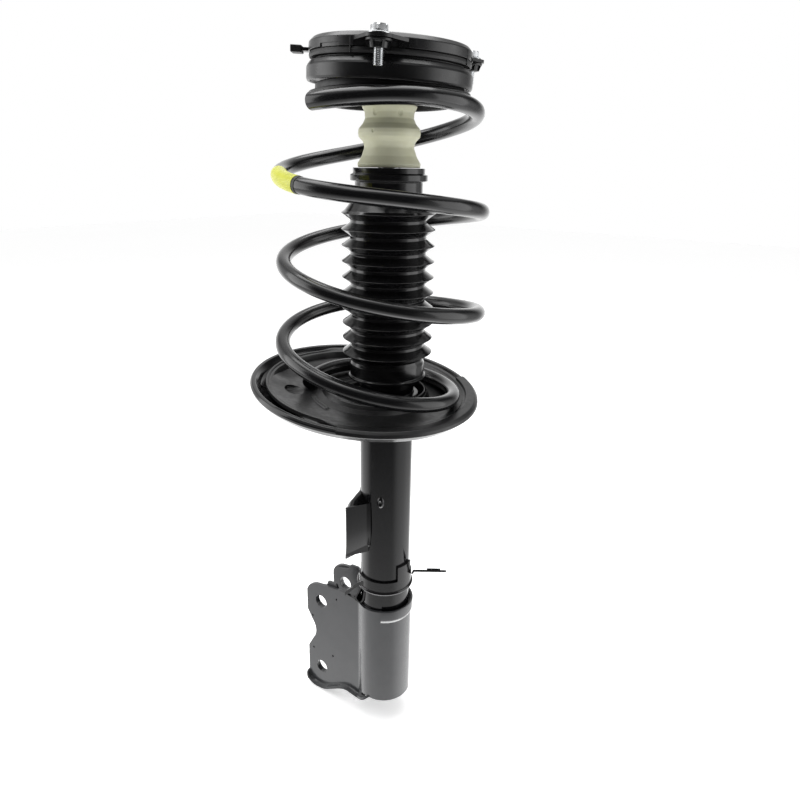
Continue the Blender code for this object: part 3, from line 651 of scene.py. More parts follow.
def bracket_plan(outer, inner, reach, fillet):
    """Plan of a sheet that wraps the tube and runs back as two parallel flanges."""
    centre_y = -FLANGE_Y - fillet
    centre_x = -math.sqrt((outer + fillet) ** 2 - centre_y**2)
    lean = math.degrees(math.atan2(-centre_y, -centre_x))
    wrap = math.degrees(math.atan2(centre_y, centre_x))
    shell = [(reach, -FLANGE_Y)] + arc(fillet, 90, lean, 8, (centre_x, centre_y))
    shell += arc(outer, wrap, -wrap, 100)[1:-1]
    shell += [(x, -y) for x, y in reversed(arc(fillet, 90, lean, 8, (centre_x, centre_y)))]
    shell += [(reach, FLANGE_Y), (reach, FLANGE_Y - FLANGE_SHEET)]
    wide = fillet + FLANGE_SHEET
    bend = arc(wide, 90, lean, 8, (centre_x, centre_y))
    shell += [(x, -y) for x, y in bend]
    shell += arc(inner, -wrap, wrap, 100)[1:-1]
    shell += list(reversed(bend)) + [(reach, -FLANGE_Y + FLANGE_SHEET)]
    return shell


def flange_edge():
    """Side view (x, z) of the flanges: two eared corners, a scooped edge and a wavy lower edge."""
    outline = [(40, 0), (40, 117.7), (-6, 114.7, 4), (-17, 114.2, 6), (-30, 117, 6), (-44, 117, 5)]
    outline += [(-60, 115)]
    outline += arc(19, 95, 165, 12, (-73.5, 93.5))
    outline += [(-92, 72, 3)]
    outline += arc(20, 42, -38, 14, (-100, 47.5))
    outline += [(-92, 21, 3), (-92.4, -17, 3), (-87, -22.5, 4), (-78, -24.5, 4), (-66, -23, 5)]
    outline += [(-54, -15.5, 6)]
    outline += [(-41, -8, 7), (-30, -5.5, 6), (-18, -7.5, 5), (-12, -8, 4), (-10, 0, 1)]
    return outline


def flange_lip(side):
    """Flared hem along the lower edge of one flange, running on round the sleeve's foot."""
    path = [(-92.2, -14), (-90.5, -19), (-84, -23.5), (-76, -24.3), (-66, -22), (-55, -15.5), (-44, -8.8)]
    path += [(-34, -5.2), (-24, -5.6), (-15, -6.6), (-8, -5.4), (-2, -2.0), (4.0, 2.2)]
    line = smooth_line(path, 6)
    flare, sheet = 6.0, 2.8
    rings = []
    for index, point in enumerate(line):
        ahead = line[min(index + 1, len(line) - 1)] - line[max(index - 1, 0)]
        down = Vector((ahead.y, -ahead.x)).normalized()
        depth = min(1.0, 0.3 + 0.09 * index, 0.02 + 0.05 * (len(line) - 1 - index))
        on_sleeve = math.sqrt(max(SLEEVE_R**2 - point.x**2, 0)) if point.x > -15.9 else 0
        face = max(FLANGE_Y, on_sleeve) - 0.1
        outer, inner = [], []
        for step in range(9):
            turn = math.radians(78 * step / 8)
            fall = flare * math.sin(turn) * depth - 1.0
            rise = flare * (1 - math.cos(turn)) * depth
            outer.append((fall, rise))
            inner.append((fall - sheet * math.sin(turn), rise - sheet * math.cos(turn)))
        profile = outer + inner[::-1]
        ring = []
        for fall, rise in profile:
            x, z = point + down * fall
            ring.append(Vector((x, side * (face + rise), z)))
        rings.append(ring)
    return swept(rings)


def make_knuckle_bracket():
    """U-shaped stamping round the tube's foot, with hemmed flanges and a collar at its top."""
    plan = bracket_plan(SLEEVE_R, SLEEVE_BORE, -96, 9.0)
    bracket = to_object("knuckle_bracket_sheet", extruded(plan, 170, lift(-40)))
    side = plane_frame((0, 40, 0), (1, 0, 0), (0, 0, 1))
    trim(bracket, extruded(flange_edge(), 80, side))
    for x, z in (UPPER_BOLT, LOWER_BOLT):
        cut(bracket, cylinder(BOLT_HOLE_R, (x, -50, z), (x, 50, z)))
    for x, z in ((-48, 103.5), (-84.5, 66), (-84.5, 21), (-55, 23)):
        for side in (-1, 1):
            start, end = side * (FLANGE_Y - FLANGE_SHEET + 0.2), side * (FLANGE_Y + 5)
            cut(bracket, cylinder(1.3, (x, start, z), (x, end, z), 20))
    flare = extruded(arc(27.5, *COLLAR_ARC, 66) + [(0, 0)], 20, lift(106.5))
    cut(bracket, flare)
    soften(bracket, 0.7)
    finish_piece(bracket, "bracket_paint", LOWER, "knuckle_bracket")
    for name, side in (("near", -1), ("far", 1)):
        add_piece(f"knuckle_lip_{name}", flange_lip(side), "bracket_paint", LOWER)
    section = [(28.2, 103.2), (29.0, 103.2), (29.5, 104.4), (30.2, 106.2), (30.4, 107.4), (30.4, 116.6)]
    section += [(29.9, 117.5), (28.4, 117.5), (27.7, 116.8), (27.7, 107.0), (28.2, 106.0)]
    rings = []
    for step in range(101):
        angle = COLLAR_ARC[0] + (COLLAR_ARC[1] - COLLAR_ARC[0]) * step / 100
        rings.append([polar(reach, angle, height) for reach, height in section])
    add_piece("sleeve_collar", swept(rings), "bracket_paint", LOWER)


def make_knuckle_liner():
    """Inner plate that doubles the flanges between the bolt holes."""
    outer = FLANGE_Y - FLANGE_SHEET - 0.5
    inner = outer - 2.4
    web = -SLEEVE_BORE - GAP
    plan = [(-88, -outer), (web - 6, -outer, 3), (web, -outer + 7, 4), (web, outer - 7, 4)]
    plan += [(web - 6, outer, 3)]
    plan += [(-88, outer), (-88, inner), (web - 7, inner, 2), (web - 2.4, inner - 6, 2)]
    plan += [(web - 2.4, -inner + 6, 2), (web - 7, -inner, 2), (-88, -inner)]
    liner = to_object("knuckle_liner_sheet", extruded(plan, 170, lift(-40)))
    side = [(-24, -6), (-24, 112), (-44, 114.5, 3), (-49, 115, 1), (-51, 120.5, 3), (-63, 119.5, 3)]
    side += [(-65, 113, 1)]
    side += arc(17, 98, 165, 10, (-73, 93)) + [(-88, 70)]
    side += arc(20, 35, -35, 12, (-98, 46)) + [(-87, 20, 2), (-88, -20, 4), (-66, -20, 6), (-44, -8, 8)]
    place = plane_frame((0, 40, 0), (1, 0, 0), (0, 0, 1))
    trim(liner, extruded(side, 80, place))
    for x, z in (UPPER_BOLT, LOWER_BOLT):
        cut(liner, cylinder(BOLT_HOLE_R, (x, -50, z), (x, 50, z)))
    soften(liner, 0.5)
    finish_piece(liner, "bracket_paint", LOWER, "knuckle_liner")


# ---------------------------------------------------------------- brackets on the tube


def inset(outline, distance):
    """Convex outline, listed clockwise, with every edge moved inwards."""
    moved = []
    for index, corner in enumerate(outline):
        corner = Vector(corner)
        before = (corner - Vector(outline[index - 1])).normalized()
        after = (Vector(outline[(index + 1) % len(outline)]) - corner).normalized()
        inward = Vector((before.y, -before.x)) + Vector((after.y, -after.x))
        moved.append(tuple(corner + inward * (distance / (1 + before.dot(after)))))
    return moved


def channel(plan, foot, top, roll):
    """Prism whose roof slopes up towards the tube and rolls over into the wall between two corners."""
    bm = extruded(plan, 60, lift(foot))
    for vertex in bm.verts:
        if vertex.co.z > foot + 1:
            vertex.co.z = top + ROOF_SLOPE[0] * vertex.co.x + ROOF_SLOPE[1] * (vertex.co.y + TUBE_R)
    rolled = []
    for edge in bm.edges:
        middle = (edge.verts[0].co + edge.verts[1].co) / 2
        if min(vertex.co.z for vertex in edge.verts) > foot + 1 and middle.x < -15:
            rolled.append(edge)
    bmesh.ops.bevel(bm, geom=rolled, offset=roll, segments=7, profile=0.5, affect="EDGES")
    return bm


def make_stabiliser_bracket():
    """Folded channel for the stabiliser link: two walls, an outer plate and a sloping, rolled roof."""
    near, corner, far = Vector((-0.2, -25.5)), Vector((-12.7, -47.2)), Vector((-20.2, -36.6))
    along = (corner - near).normalized()
    across = Vector((-along.y, along.x))
    plan = [tuple(near - across * 1.4), tuple(corner - across * 1.4), tuple(far), (-24.0, -8.7), (0, -8)]
    bracket = to_object("stabiliser_bracket_sheet", channel(plan, LINK_FOOT, LINK_TOP, 11.5))
    cut(bracket, channel(inset(plan, LINK_SHEET), 150.0, LINK_TOP - LINK_SHEET, 9.0))
    low = plane_frame((*(near - across * 1.2), 150), (*along, 0), (*-across, 0))
    cut(bracket, extruded([(-8, -2), (30, -2), (22.5, 4), (-8, 4)], 64, low))
    cut(bracket, cylinder(TUBE_R + GAP, (0, 0, 150), (0, 0, 300), 144))
    cut(bracket, cylinder(LINK_HOLE_R, (-10, -24, LINK_HOLE_Z), (-34, -24, LINK_HOLE_Z)))
    soften(bracket, 0.6)
    finish_piece(bracket, "tube_paint", LOWER, "stabiliser_bracket")
    length = (corner - near).length
    rings = []
    for column in range(25):
        u = column / 24
        foot = 187.4 - 7.1 * u
        skins = ([], [])
        for row in range(25):
            v = row / 24
            bow = 1.4 * max(0.0, 1 - u / 0.14) ** 2 - 2.6 * max(0.0, 1 - v / 0.5) ** 2
            bow += 0.8 * math.sin(math.pi * v)
            for skin, depth in zip(skins, (0.0, -1.8)):
                spot = near + along * (length * u) + across * (bow + depth)
                skin.append(Vector((spot.x, spot.y, foot + (239.5 - foot) * v)))
        rings.append(skins[0] + skins[1][::-1])
    wall = to_object("stabiliser_bracket_wall", swept(rings))
    cut(wall, cylinder(TUBE_R + GAP, (0, 0, 150), (0, 0, 300), 144))
    soften(wall, 0.5)
    finish_piece(wall, "tube_paint", LOWER)


def make_hose_bracket():
    """Band round the tube with an upright tab, a turned-out end and a thin arm that holds a clip."""
    band_r, bore = 28.0, TUBE_R + GAP
    band = arc(band_r, -128, 100, 76) + arc(bore, 100, -128, 76)
    bracket = to_object("hose_bracket_band", extruded(band, 13, lift(138)))
    tab = arc(band_r, -25, 18, 20) + arc(bore, 18, -25, 20)
    join(bracket, extruded(tab, 28.8, lift(138.6)))
    strap = smooth_line([(-2, 143.5), (-9, 143.0), (-15, 139.5), (-24, 129.5), (-33, 119.6)], 6)
    outline = [(x, z + 2.2) for x, z in strap] + [(x, z - 2.2) for x, z in reversed(strap)]
    side = plane_frame((0, -19, 0), (1, 0, 0), (0, 0, 1))
    join(bracket, extruded(outline, 8, side))
    hook = smooth_line([(-13, 139), (-17, 128), (-21, 119), (-15.5, 115.5), (-11, 121), (-9, 131)], 6)
    outline = [(x, z) for x, z in hook] + [(x + 2.2, z + 0.6) for x, z in reversed(hook)]
    join(bracket, extruded(outline, 6, side))
    cut(bracket, cylinder(bore, (0, 0, 100), (0, 0, 200), 144))
    hem = [(bore, 136.6), (29.0, 136.6, 1.0), (29.6, 138.6, 1.0), (28.4, 140.2, 0.6), (bore, 140.2)]
    join(bracket, turned(hem, 144))
    soften(bracket, 0.5)
    finish_piece(bracket, "hose_paint", LOWER, "hose_bracket")
    azimuth, pitch = (math.radians(angle) for angle in ARM_TURN)
    out = Vector((math.cos(azimuth), math.sin(azimuth), 0))
    level = Vector((-math.sin(azimuth), math.cos(azimuth), 0))
    rise = level * math.sin(pitch) + Vector((0, 0, 1)) * math.cos(pitch)
    profile = [(28.2, -1), (30.0, -1), (30.4, 1.0, 1.5), (64, 1.2, 0.5), (64, 3.4, 0.5), (29.2, 3.4, 2.5)]
    place = plane_frame(Vector((0, 0, 147.5)) - level * 3, out, rise) @ lift(-11)
    arm = to_object("hose_bracket_arm", extruded(profile, 22, place))
    outline = [(44, -2), (58, -2), (58, 6), (44, 6)]
    cut(arm, extruded(outline, 8, place @ lift(7)))
    soften(arm, 0.5)
    finish_piece(arm, "hose_paint", LOWER)
    profile = [(44, 3.2), (58, 3.2), (58, 5.0, 0.6), (44, 5.0, 0.6)]
    lug = to_object("hose_bracket_lug", extruded(profile, 5, place @ lift(16)))
    soften(lug, 0.4)
    finish_piece(lug, "hose_paint", LOWER)


# ---------------------------------------------------------------- lower seat and pad


def seat_warp(point):
    """Moves a turned point into the lower seat's lean and offset, leaving its collar on the tube."""
    share = ease((point.xy.length - SEAT_BEND[0]) / (SEAT_BEND[1] - SEAT_BEND[0]))
    lean = SEAT_LEAN[0] * point.x + SEAT_LEAN[1] * point.y
    x = point.x + share * SEAT_SHIFT[0]
    y = point.y + share * SEAT_SHIFT[1]
    return Vector((x, y, point.z + share * lean))


def make_lower_seat():
    """Dished steel seat with a rolled rim, a collar on the tube and drain slots."""
    base, sheet = SEAT_FLOOR, 3.0
    bore = TUBE_R + GAP
    floor = [34, 42, 49, 56, 63, 70]
    outline = [(bore, -14, 0.5), (bore + sheet, -14, 0.8), (bore + sheet, -5, 3)]
    outline += [(radius, -sheet) for radius in floor]
    outline += [(92, 5.6, 8), (100.6, 8.4, 2.5), (SEAT_R - 0.6, 13.4, 2)]
    outline += [(SEAT_R, 16.0, 1.5), (104.2, 18.3, 1.5), (101.0, 18.3, 1.5)]
    outline += [(98.6, 15.4, 1.5), (96.8, 12.6, 1.5), (91, 9.4, 6)]
    outline += [(radius, 0) for radius in reversed(floor[1:])]
    outline += [(36, 0, 3), (30, 10, 2), (bore, 10, 0.5)]
    seat = to_object("lower_seat_dish", turned(raised(base, outline), 240, seat_warp))
    for start, end, reach in DRAIN_SLOTS:
        slot = arc(reach, start, end, 8) + arc(88, end, start, 8)
        cut(seat, extruded(slot, 60, Matrix.Translation((*SEAT_SHIFT, base - 30))))
    finish_piece(seat, "seat_paint", LOWER, "lower_spring_seat")


def pad_warp(point):
    """Seat warp with the edge drawn in where it stops short of the rim, and a lower floor at the back."""
    azimuth = math.degrees(math.atan2(point.y, point.x)) % 360
    reach = point.xy.length
    height = point.z - SEAT_FLOOR
    if height > 8.2 and reach < 88:
        sunk = ease((azimuth - 100) / 25) * ease((222 - azimuth) / 30)
        height -= 5.6 * sunk * ease((88 - reach) / 1.6) * ease((height - 8.2) / 5)
    if reach > 50:
        ripple = noise.noise(Vector((point.x * 0.035, point.y * 0.035, 2.0)))
        height += 0.9 * ripple * ease((height - 8.2) / 4) * ease((94 - reach) / 10)
    short = ease((azimuth - 148) / 12) * ease((296 - azimuth) / 12)
    scale = (reach - short * 0.5 * max(reach - 86, 0)) / reach
    return seat_warp(Vector((point.x * scale, point.y * scale, SEAT_FLOOR + height)))


def seat_spot(azimuth, reach, height):
    """Point over the seat's floor, in the seat's own frame."""
    return seat_warp(polar(reach, azimuth, SEAT_FLOOR + height))


def make_lower_pad():
    """Moulded rubber pad with rings round the boot, a groove for the wire and a lip over the rim."""
    base = SEAT_FLOOR + GAP
    outline = [(38.6, 0), (42, 0), (49, 0), (56, 0), (63, 0), (70, 0)]
    outline += [(90, 9.6, 6), (97.2, 13.2, 1), (97.6, 17.0, 0.9), (94, 16.6, 2)]
    outline += [(92.6, 15.6, 1), (88.4, 15.2), (87.4, 15.0), (86.4, 14.8)]
    outline += [(80, 13.0), (74, 11.4), (66, 9.8), (56, 8.6, 2), (50, 9.4)]
    outline += [(48.0, 12.8, 1.2), (45.8, 12.8, 1.2), (45.0, 9.6, 1), (42.6, 9.6, 1)]
    outline += [(41.8, 13.4, 1), (38.6, 13.4, 1)]
    pad = to_object("lower_pad_moulding", turned(raised(base, outline), 240, pad_warp))
    rings = coil_rings(960, 1306, 170, WIRE_R + GAP, 28)
    cut(pad, swept(rings))
    cut(pad, ball(seat_spot(-130, 66, 11.4), 9.5, (1.25, 1.0, 0.42)))
    route = [(-124, 56), (-110, 57), (-98, 58), (-86, 60)]
    rib = [seat_spot(azimuth, reach, 8.6) for azimuth, reach in route]
    join(pad, bead(rib, 2.4, 16, 0.0))
    finish_piece(pad, "pad_rubber", LOWER, "lower_spring_pad")
    lip = [(96.2, 14.4), (96.2, 18.8, 0.4), (97.4, 19.1, 0.4), (104.6, 19.4, 2)]
    lip += [(107.0, 17.0, 1.5), (107.3, 14.2, 0.5), (106.4, 13.8, 0.4)]
    lip += [(106.3, 16.2, 1), (104.4, 18.3, 1), (100.8, 18.3, 1), (98.0, 15.6, 1)]
    lip = rounded(raised(base, lip))
    rings = []
    for step in range(81):
        angle = PAD_LIP[0] + (PAD_LIP[1] - PAD_LIP[0]) * step / 80
        rings.append([seat_warp(polar(reach, angle, height)) for reach, height in lip])
    add_piece("lower_pad_lip", swept(rings), "pad_rubber", LOWER)


# ---------------------------------------------------------------- coil spring


def coil_point(azimuth):
    """Centre of the wire at an azimuth in degrees, on a smooth curve through the coil's stations."""
    stations = COIL_STATIONS
    index = 0
    while index < len(stations) - 2 and azimuth > stations[index + 1][0]:
        index += 1
    before = stations[max(index - 1, 0)]
    start, end = stations[index], stations[index + 1]
    after = stations[min(index + 2, len(stations) - 1)]
    span = end[0] - start[0]
    share = (azimuth - start[0]) / span
    values = []
    for column in (1, 2):
        slope_in = (end[column] - before[column]) / (end[0] - before[0]) * span
        slope_out = (after[column] - start[column]) / (after[0] - start[0]) * span
        values.append(
            start[column] * (2 * share**3 - 3 * share**2 + 1)
            + slope_in * (share**3 - 2 * share**2 + share)
            + end[column] * (3 * share**2 - 2 * share**3)
            + slope_out * (share**3 - share**2)
        )
    height, reach = values
    return Vector((*COIL_AXIS, 0)) + polar(reach, azimuth, height)


def coil_rings(start, end, steps, radius, sides):
    """Rings of points round the wire between two azimuths."""
    rings = []
    for step in range(steps + 1):
        azimuth = start + (end - start) * step / steps
        centre = coil_point(azimuth)
        along = (coil_point(azimuth + 0.4) - coil_point(azimuth - 0.4)).normalized()
        sideways = along.cross(Vector((0, 0, 1))).normalized()
        upward = sideways.cross(along)
        reach = radius(azimuth) if callable(radius) else radius
        ring = []
        for side in range(sides):
            angle = math.tau * side / sides
            ring.append(centre + (sideways * math.cos(angle) + upward * math.sin(angle)) * reach)
        rings.append(ring)
    return rings


def make_spring():
    """Coil of round wire with its yellow colour band."""
    first, last = COIL_STATIONS[0][0], COIL_STATIONS[-1][0]
    rings = coil_rings(first + 0.6, last - 0.6, COIL_STEPS, WIRE_R, 32)
    chamfer = 0.9
    rings = coil_rings(first, first + 0.01, 1, WIRE_R - chamfer, 32)[:1] + rings
    rings += coil_rings(last, last + 0.01, 1, WIRE_R - chamfer, 32)[:1]
    spring = add_piece("coil_spring_wire", swept(rings), "spring_powder", UPPER, "coil_spring")
    wrap = tube_skin(*BAND_ARC, 32, WIRE_R + 0.12, WIRE_R + 0.55)
    band = add_piece("colour_band_wrap", wrap, "yellow_wrap", UPPER, "colour_band")
    edge = tube_skin(BAND_ARC[0] - 1.4, BAND_ARC[1] + 2.2, 36, WIRE_R + 0.04, WIRE_R + 0.3)
    sleeve = add_piece("colour_band_edge", edge, "wrap_edge", UPPER)
    for piece in (spring, band, sleeve):
        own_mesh(piece)


def tube_skin(start, end, steps, inner, outer):
    """Thin open sleeve round the wire."""
    bm = bmesh.new()
    skins = []
    for radius in (inner, outer):
        rings = coil_rings(start, end, steps, radius, 36)
        skins.append([[bm.verts.new(point) for point in ring] for ring in rings])
    for skin in skins:
        for first, second in zip(skin, skin[1:]):
            bridge(bm, first, second)
    bridge(bm, skins[0][0], skins[1][0])
    bridge(bm, skins[0][-1], skins[1][-1])
    return bm


# ---------------------------------------------------------------- bump stop and boot


def make_bump_stop():
    """Foam bump stop with a waist, dimples round its top and a vent."""
    bore = ROD_R + 0.6
    low, high = BUMP_BOTTOM, BUMP_TOP
    outline = [(bore, low, 1), (26.4, low, 1), (26.8, low + 3, 2), (23.2, 559, 4), (20.8, 566, 4)]
    outline += [(22.2, 570.3, 3), (25.8, 574, 2), (26.2, 577, 3), (25.8, 580, 3), (22.3, 584, 3)]
    outline += [(20.3, 588, 3), (20.6, 592.5, 3), (23.4, high, 1), (bore, high, 1)]
    stop = to_object("bump_stop_foam", turned(outline, 144))
    for number in range(6):
        cut(stop, ball(polar(23.2, -88 + 60 * number, 591.5), 3.6))
    cut(stop, ball(polar(26.9, -84, 578.2), 1.5, (1, 1, 1.6)))
    soften(stop, 0.5, 3, 40)
    finish_piece(stop, "urethane", UPPER, "bump_stop")


def make_boot():
    """Dust boot: a plain collar, ten folds and a plain foot."""
    wall = 1.8
    outer = [(30.8, BOOT_TOP, 0.6), (30.8, 545.3, 0.5), (33.2, 544.3, 0.6), (33.2, 539.6, 0.7)]
    outer += [(29.2, 538.4, 0.8)]
    outer += [(29.2, 529, 1.5), (FOLD_ROOT_R - 0.6, 522, 1.6)]
    for fold in range(FOLD_COUNT):
        middle = FOLD_TOP - fold * FOLD_PITCH
        outer += [(FOLD_R - 3.0, middle + 2.0, 2.0), (FOLD_R, middle, 0.4)]
        outer += [(FOLD_R - 2.4, middle - 1.5, 1.5)]
        root = middle - FOLD_PITCH / 2
        outer += [(FOLD_ROOT_R, root + 1.4, 0.9), (FOLD_ROOT_R, root - 1.2, 0.9)]
    foot = FOLD_TOP - FOLD_COUNT * FOLD_PITCH
    outer += [(34.6, foot + 3, 1), (34.6, BOOT_BOTTOM + 3.2, 0.6), (36.0, BOOT_BOTTOM + 2, 0.5)]
    outer += [(36.0, BOOT_BOTTOM, 0.5)]
    inner = [(27.6, BOOT_TOP, 0.5), (27.6, 544)]
    inner += [(radius - wall, height) for radius, height, _ in outer[2:-1]]
    inner += [(34.2, BOOT_BOTTOM)]
    bellows = turned(outer + inner[::-1], 128)
    boot = add_piece("dust_boot_bellows", bellows, "boot_rubber", UPPER, "dust_boot")
    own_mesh(boot)


# ---------------------------------------------------------------- rod


def threaded(radius, pitch, bottom, top, inner=0.0):
    """Threaded rod from bottom to top, with a chamfer at each end."""
    sides, rings_per_turn, depth = 40, 10, pitch * 0.6
    steps = int((top - bottom) / pitch * rings_per_turn)
    bm = bmesh.new()
    rings = []
    for step in range(steps + 1):
        height = bottom + (top - bottom) * step / steps
        end = min(height - bottom, top - height)
        ring = []
        for side in range(sides):
            angle = math.tau * side / sides
            phase = (height / pitch + side / sides) % 1.0
            groove = depth * abs(2 * phase - 1)
            reach = min(radius - groove, radius - depth * 1.1 + end)
            ring.append(bm.verts.new((reach * math.cos(angle), reach * math.sin(angle), height)))
        rings.append(ring)
    for first, second in zip(rings, rings[1:]):
        bridge(bm, first, second)
    bm.faces.new(rings[0])
    bm.faces.new(rings[-1])
    return bm


def hexagon(half_width, bottom, top, hole):
    """Chamfered hexagonal nut or head."""
    bm = bmesh.new()
    sides = 72
    corner = half_width / math.cos(math.pi / 6)
    stations = [(hole + 0.6, bottom), (half_width * 0.98, bottom), (corner, bottom + 0.9)]
    stations += [(corner, top - 0.9), (half_width * 0.98, top), (hole + 0.6, top)]
    if hole:
        stations += [(hole, top - 0.6), (hole, bottom + 0.6)]
    rings = []
    for radius, height in stations:
        ring = []
        for side in range(sides):
            angle = math.tau * side / sides
            reach = min(radius, hexagon_radius(half_width, angle))
            ring.append(bm.verts.new((reach * math.cos(angle), reach * math.sin(angle), height)))
        rings.append(ring)
    for first, second in zip(rings, rings[1:]):
        bridge(bm, first, second)
    if hole:
        bridge(bm, rings[-1], rings[0])
    else:
        bm.faces.new(rings[0])
        bm.faces.new(rings[-1])
    return bm


def make_rod():
    """Piston rod with its thread, washer and nut."""
    low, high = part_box("piston_rod")[0].z / MM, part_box("piston_rod")[1].z / MM
    outline = [(0, low), (6, low, 0.8), (6, ROD_NECK), (ROD_R, ROD_NECK, 0.6), (ROD_R, ROD_SHOULDER, 0.8)]
    outline += [(6, ROD_SHOULDER), (5, ROD_SHOULDER + 1), (0, ROD_SHOULDER + 1)]
    add_piece("rod_shaft", turned(outline, 96), "chrome", UPPER, "piston_rod")
    add_piece("rod_thread", threaded(6.0, 1.5, ROD_SHOULDER + 0.5, high), "threads", UPPER)
    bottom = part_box("rod_washer")[0].z / MM
    outline = [(6.3, bottom, 0.3), (16, bottom, 0.6), (16, bottom + 2.5, 0.9), (6.3, bottom + 2.5, 0.4)]
    add_piece("rod_washer_disc", turned(outline, 96), "zinc", UPPER, "rod_washer")
    bottom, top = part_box("rod_nut")[0].z / MM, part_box("rod_nut")[1].z / MM
    add_piece("rod_nut_body", hexagon(9.5, bottom, top, 6.3), "zinc", UPPER, "rod_nut")


# ---------------------------------------------------------------- upper seat and isolator


def make_upper_seat():
    """Pressed upper spring seat and the rubber ring between it and the spring."""
    outline = [(7, -0.4, 0.3), (7, 2.6, 0.5), (30, 2.6, 1.5), (34, -3.0, 1.5), (60.6, -3.0, 1.2)]
    outline += [(61.3, 7, 0.8)]
    outline += [(63.9, 7, 1.4), (66.6, 3.6, 1.2), (67.4, 2.0, 1.2), (67.4, -6.2, 0.9), (66.6, -8.0, 0.8)]
    outline += [(64.8, -8.0, 0.6), (64.3, -6.0, 0.8), (32, -6.0, 1.2), (28, -0.4, 1.2)]
    pan = turned(outline, 192)
    add_piece("upper_seat_pan", pan, "plate_paint", UPPER, "upper_spring_seat", place=MOUNT)
    outline = [(46, 597, 1), (51.2, 597, 1.4), (52.6, 605.3, 1.5), (66, 605.3, 0.5), (66, 606.6, 0.5)]
    outline += [(61, 607.4, 1), (60.5, 613, 1), (46, 613)]
    isolator = to_object("upper_isolator_ring", turned(outline, 160))
    limit = extruded(arc(95, 0, 360, 96)[:-1], 40, MOUNT @ lift(-46.3))
    trim(isolator, limit)
    finish_piece(isolator, "moulded_rubber", UPPER, "upper_isolator")


# ---------------------------------------------------------------- top mount


def around(angle):
    """Turn about Z by an angle in degrees."""
    return Matrix.Rotation(math.radians(angle), 4, "Z")


def make_mount_plate():
    """Pressed plate: a rolled shoulder, a skirt folded down between the ears, ears and a turned-in bore."""
    under = PLATE_TOP - 3
    outline = [(30, 16.5, 0.8), (30, PLATE_TOP, 2.5), (38, PLATE_TOP, 1), (40, PLATE_TOP - 1.2, 1)]
    outline += [(46, PLATE_TOP - 1.2, 1), (48, PLATE_TOP, 1), (62, PLATE_TOP, 2.5)]
    outline += [(65.5, PLATE_TOP - 3.4, 2)]
    outline += [(65.9, 13.0, 0.6), (63.3, 13.0, 0.6), (62.9, under - 1, 1.5), (61, under, 1.5)]
    outline += [(32.6, under, 1.5)]
    outline += [(32.6, 16.5, 0.8)]
    plate = to_object("mount_plate_pressing", turned(outline, 192))
    for angle in BOLT_ANGLES:
        notch = [(62, -21, 2), (80, -21), (80, 21), (62, 21, 2)]
        place = around(angle) @ lift(EAR_TOP - EAR_SHEET - 8)
        cut(plate, extruded(notch, 8, place))
        ear = arc(11, -70, 70, 24, (BOLT_CIRCLE_R, 0)) + arc(64.2, 19, -19, 16)
        place = around(angle) @ lift(EAR_TOP - EAR_SHEET)
        join(plate, extruded(ear, EAR_SHEET, place))
    for angle in (18, 98, 140, 262):
        slot = arc(64.9, angle - 9, angle + 9, 8) + arc(68, angle + 9, angle - 9, 8)
        cut(plate, extruded(slot, 5.5, lift(10)))
    arm = [(64.2, -5.2, 0.5), (80, -5.2, 1.5), (80, 5.2, 1.5), (64.2, 5.2, 0.5)]
    join(plate, extruded(arm, 2.6, around(TAB_ANGLE) @ lift(13.7)))
    for angle in BOLT_ANGLES:
        cut(plate, cylinder(4.3, polar(BOLT_CIRCLE_R, angle), polar(BOLT_CIRCLE_R, angle, 40)))
    soften(plate, 0.45)
    move(plate, MOUNT)
    finish_piece(plate, "plate_paint", TOP, "mount_plate")
    grip = [(71, -6.3, 1), (80.2, -6.3, 1), (80.2, 6.3, 1), (71, 6.3, 1)]
    place = MOUNT @ around(TAB_ANGLE) @ lift(12.3)
    cover = to_object("mount_tab_cover", extruded(grip, 5.4, place))
    soften(cover, 0.8)
    finish_piece(cover, "moulded_rubber", TOP)


def make_mount_rubber():
    """Rubber under the plate, with a flange below it and four mould seams."""
    rubber_r = 62.6
    outline = [(22, 8, 1), (33, 8, 1), (36, 6.2, 1), (60, 6.2, 0.6), (60.4, 8.4, 0.4), (65.0, 8.4, 0.8)]
    outline += [(65.5, 10.4, 0.8), (64.8, 12.5, 0.5), (rubber_r, 12.7, 0.3), (rubber_r, 18.4, 0.4)]
    outline += [(60.6, 19.6, 0.4), (34, 19.6, 0.5), (34, 15.5, 1), (29.3, 15.5, 1), (29.0, 17.5, 1)]
    outline += [(22, 17.5, 1)]
    rubber = to_object("mount_rubber_moulding", turned(outline, 192))
    for angle in (10, 100, 190, 280):
        seam = [(60, -0.5), (65.9, -0.5, 0.3), (65.9, 0.5, 0.3), (60, 0.5)]
        join(rubber, extruded(seam, 10.8, around(angle) @ lift(8.5)))
    move(rubber, MOUNT)
    finish_piece(rubber, "moulded_rubber", TOP, "mount_rubber")


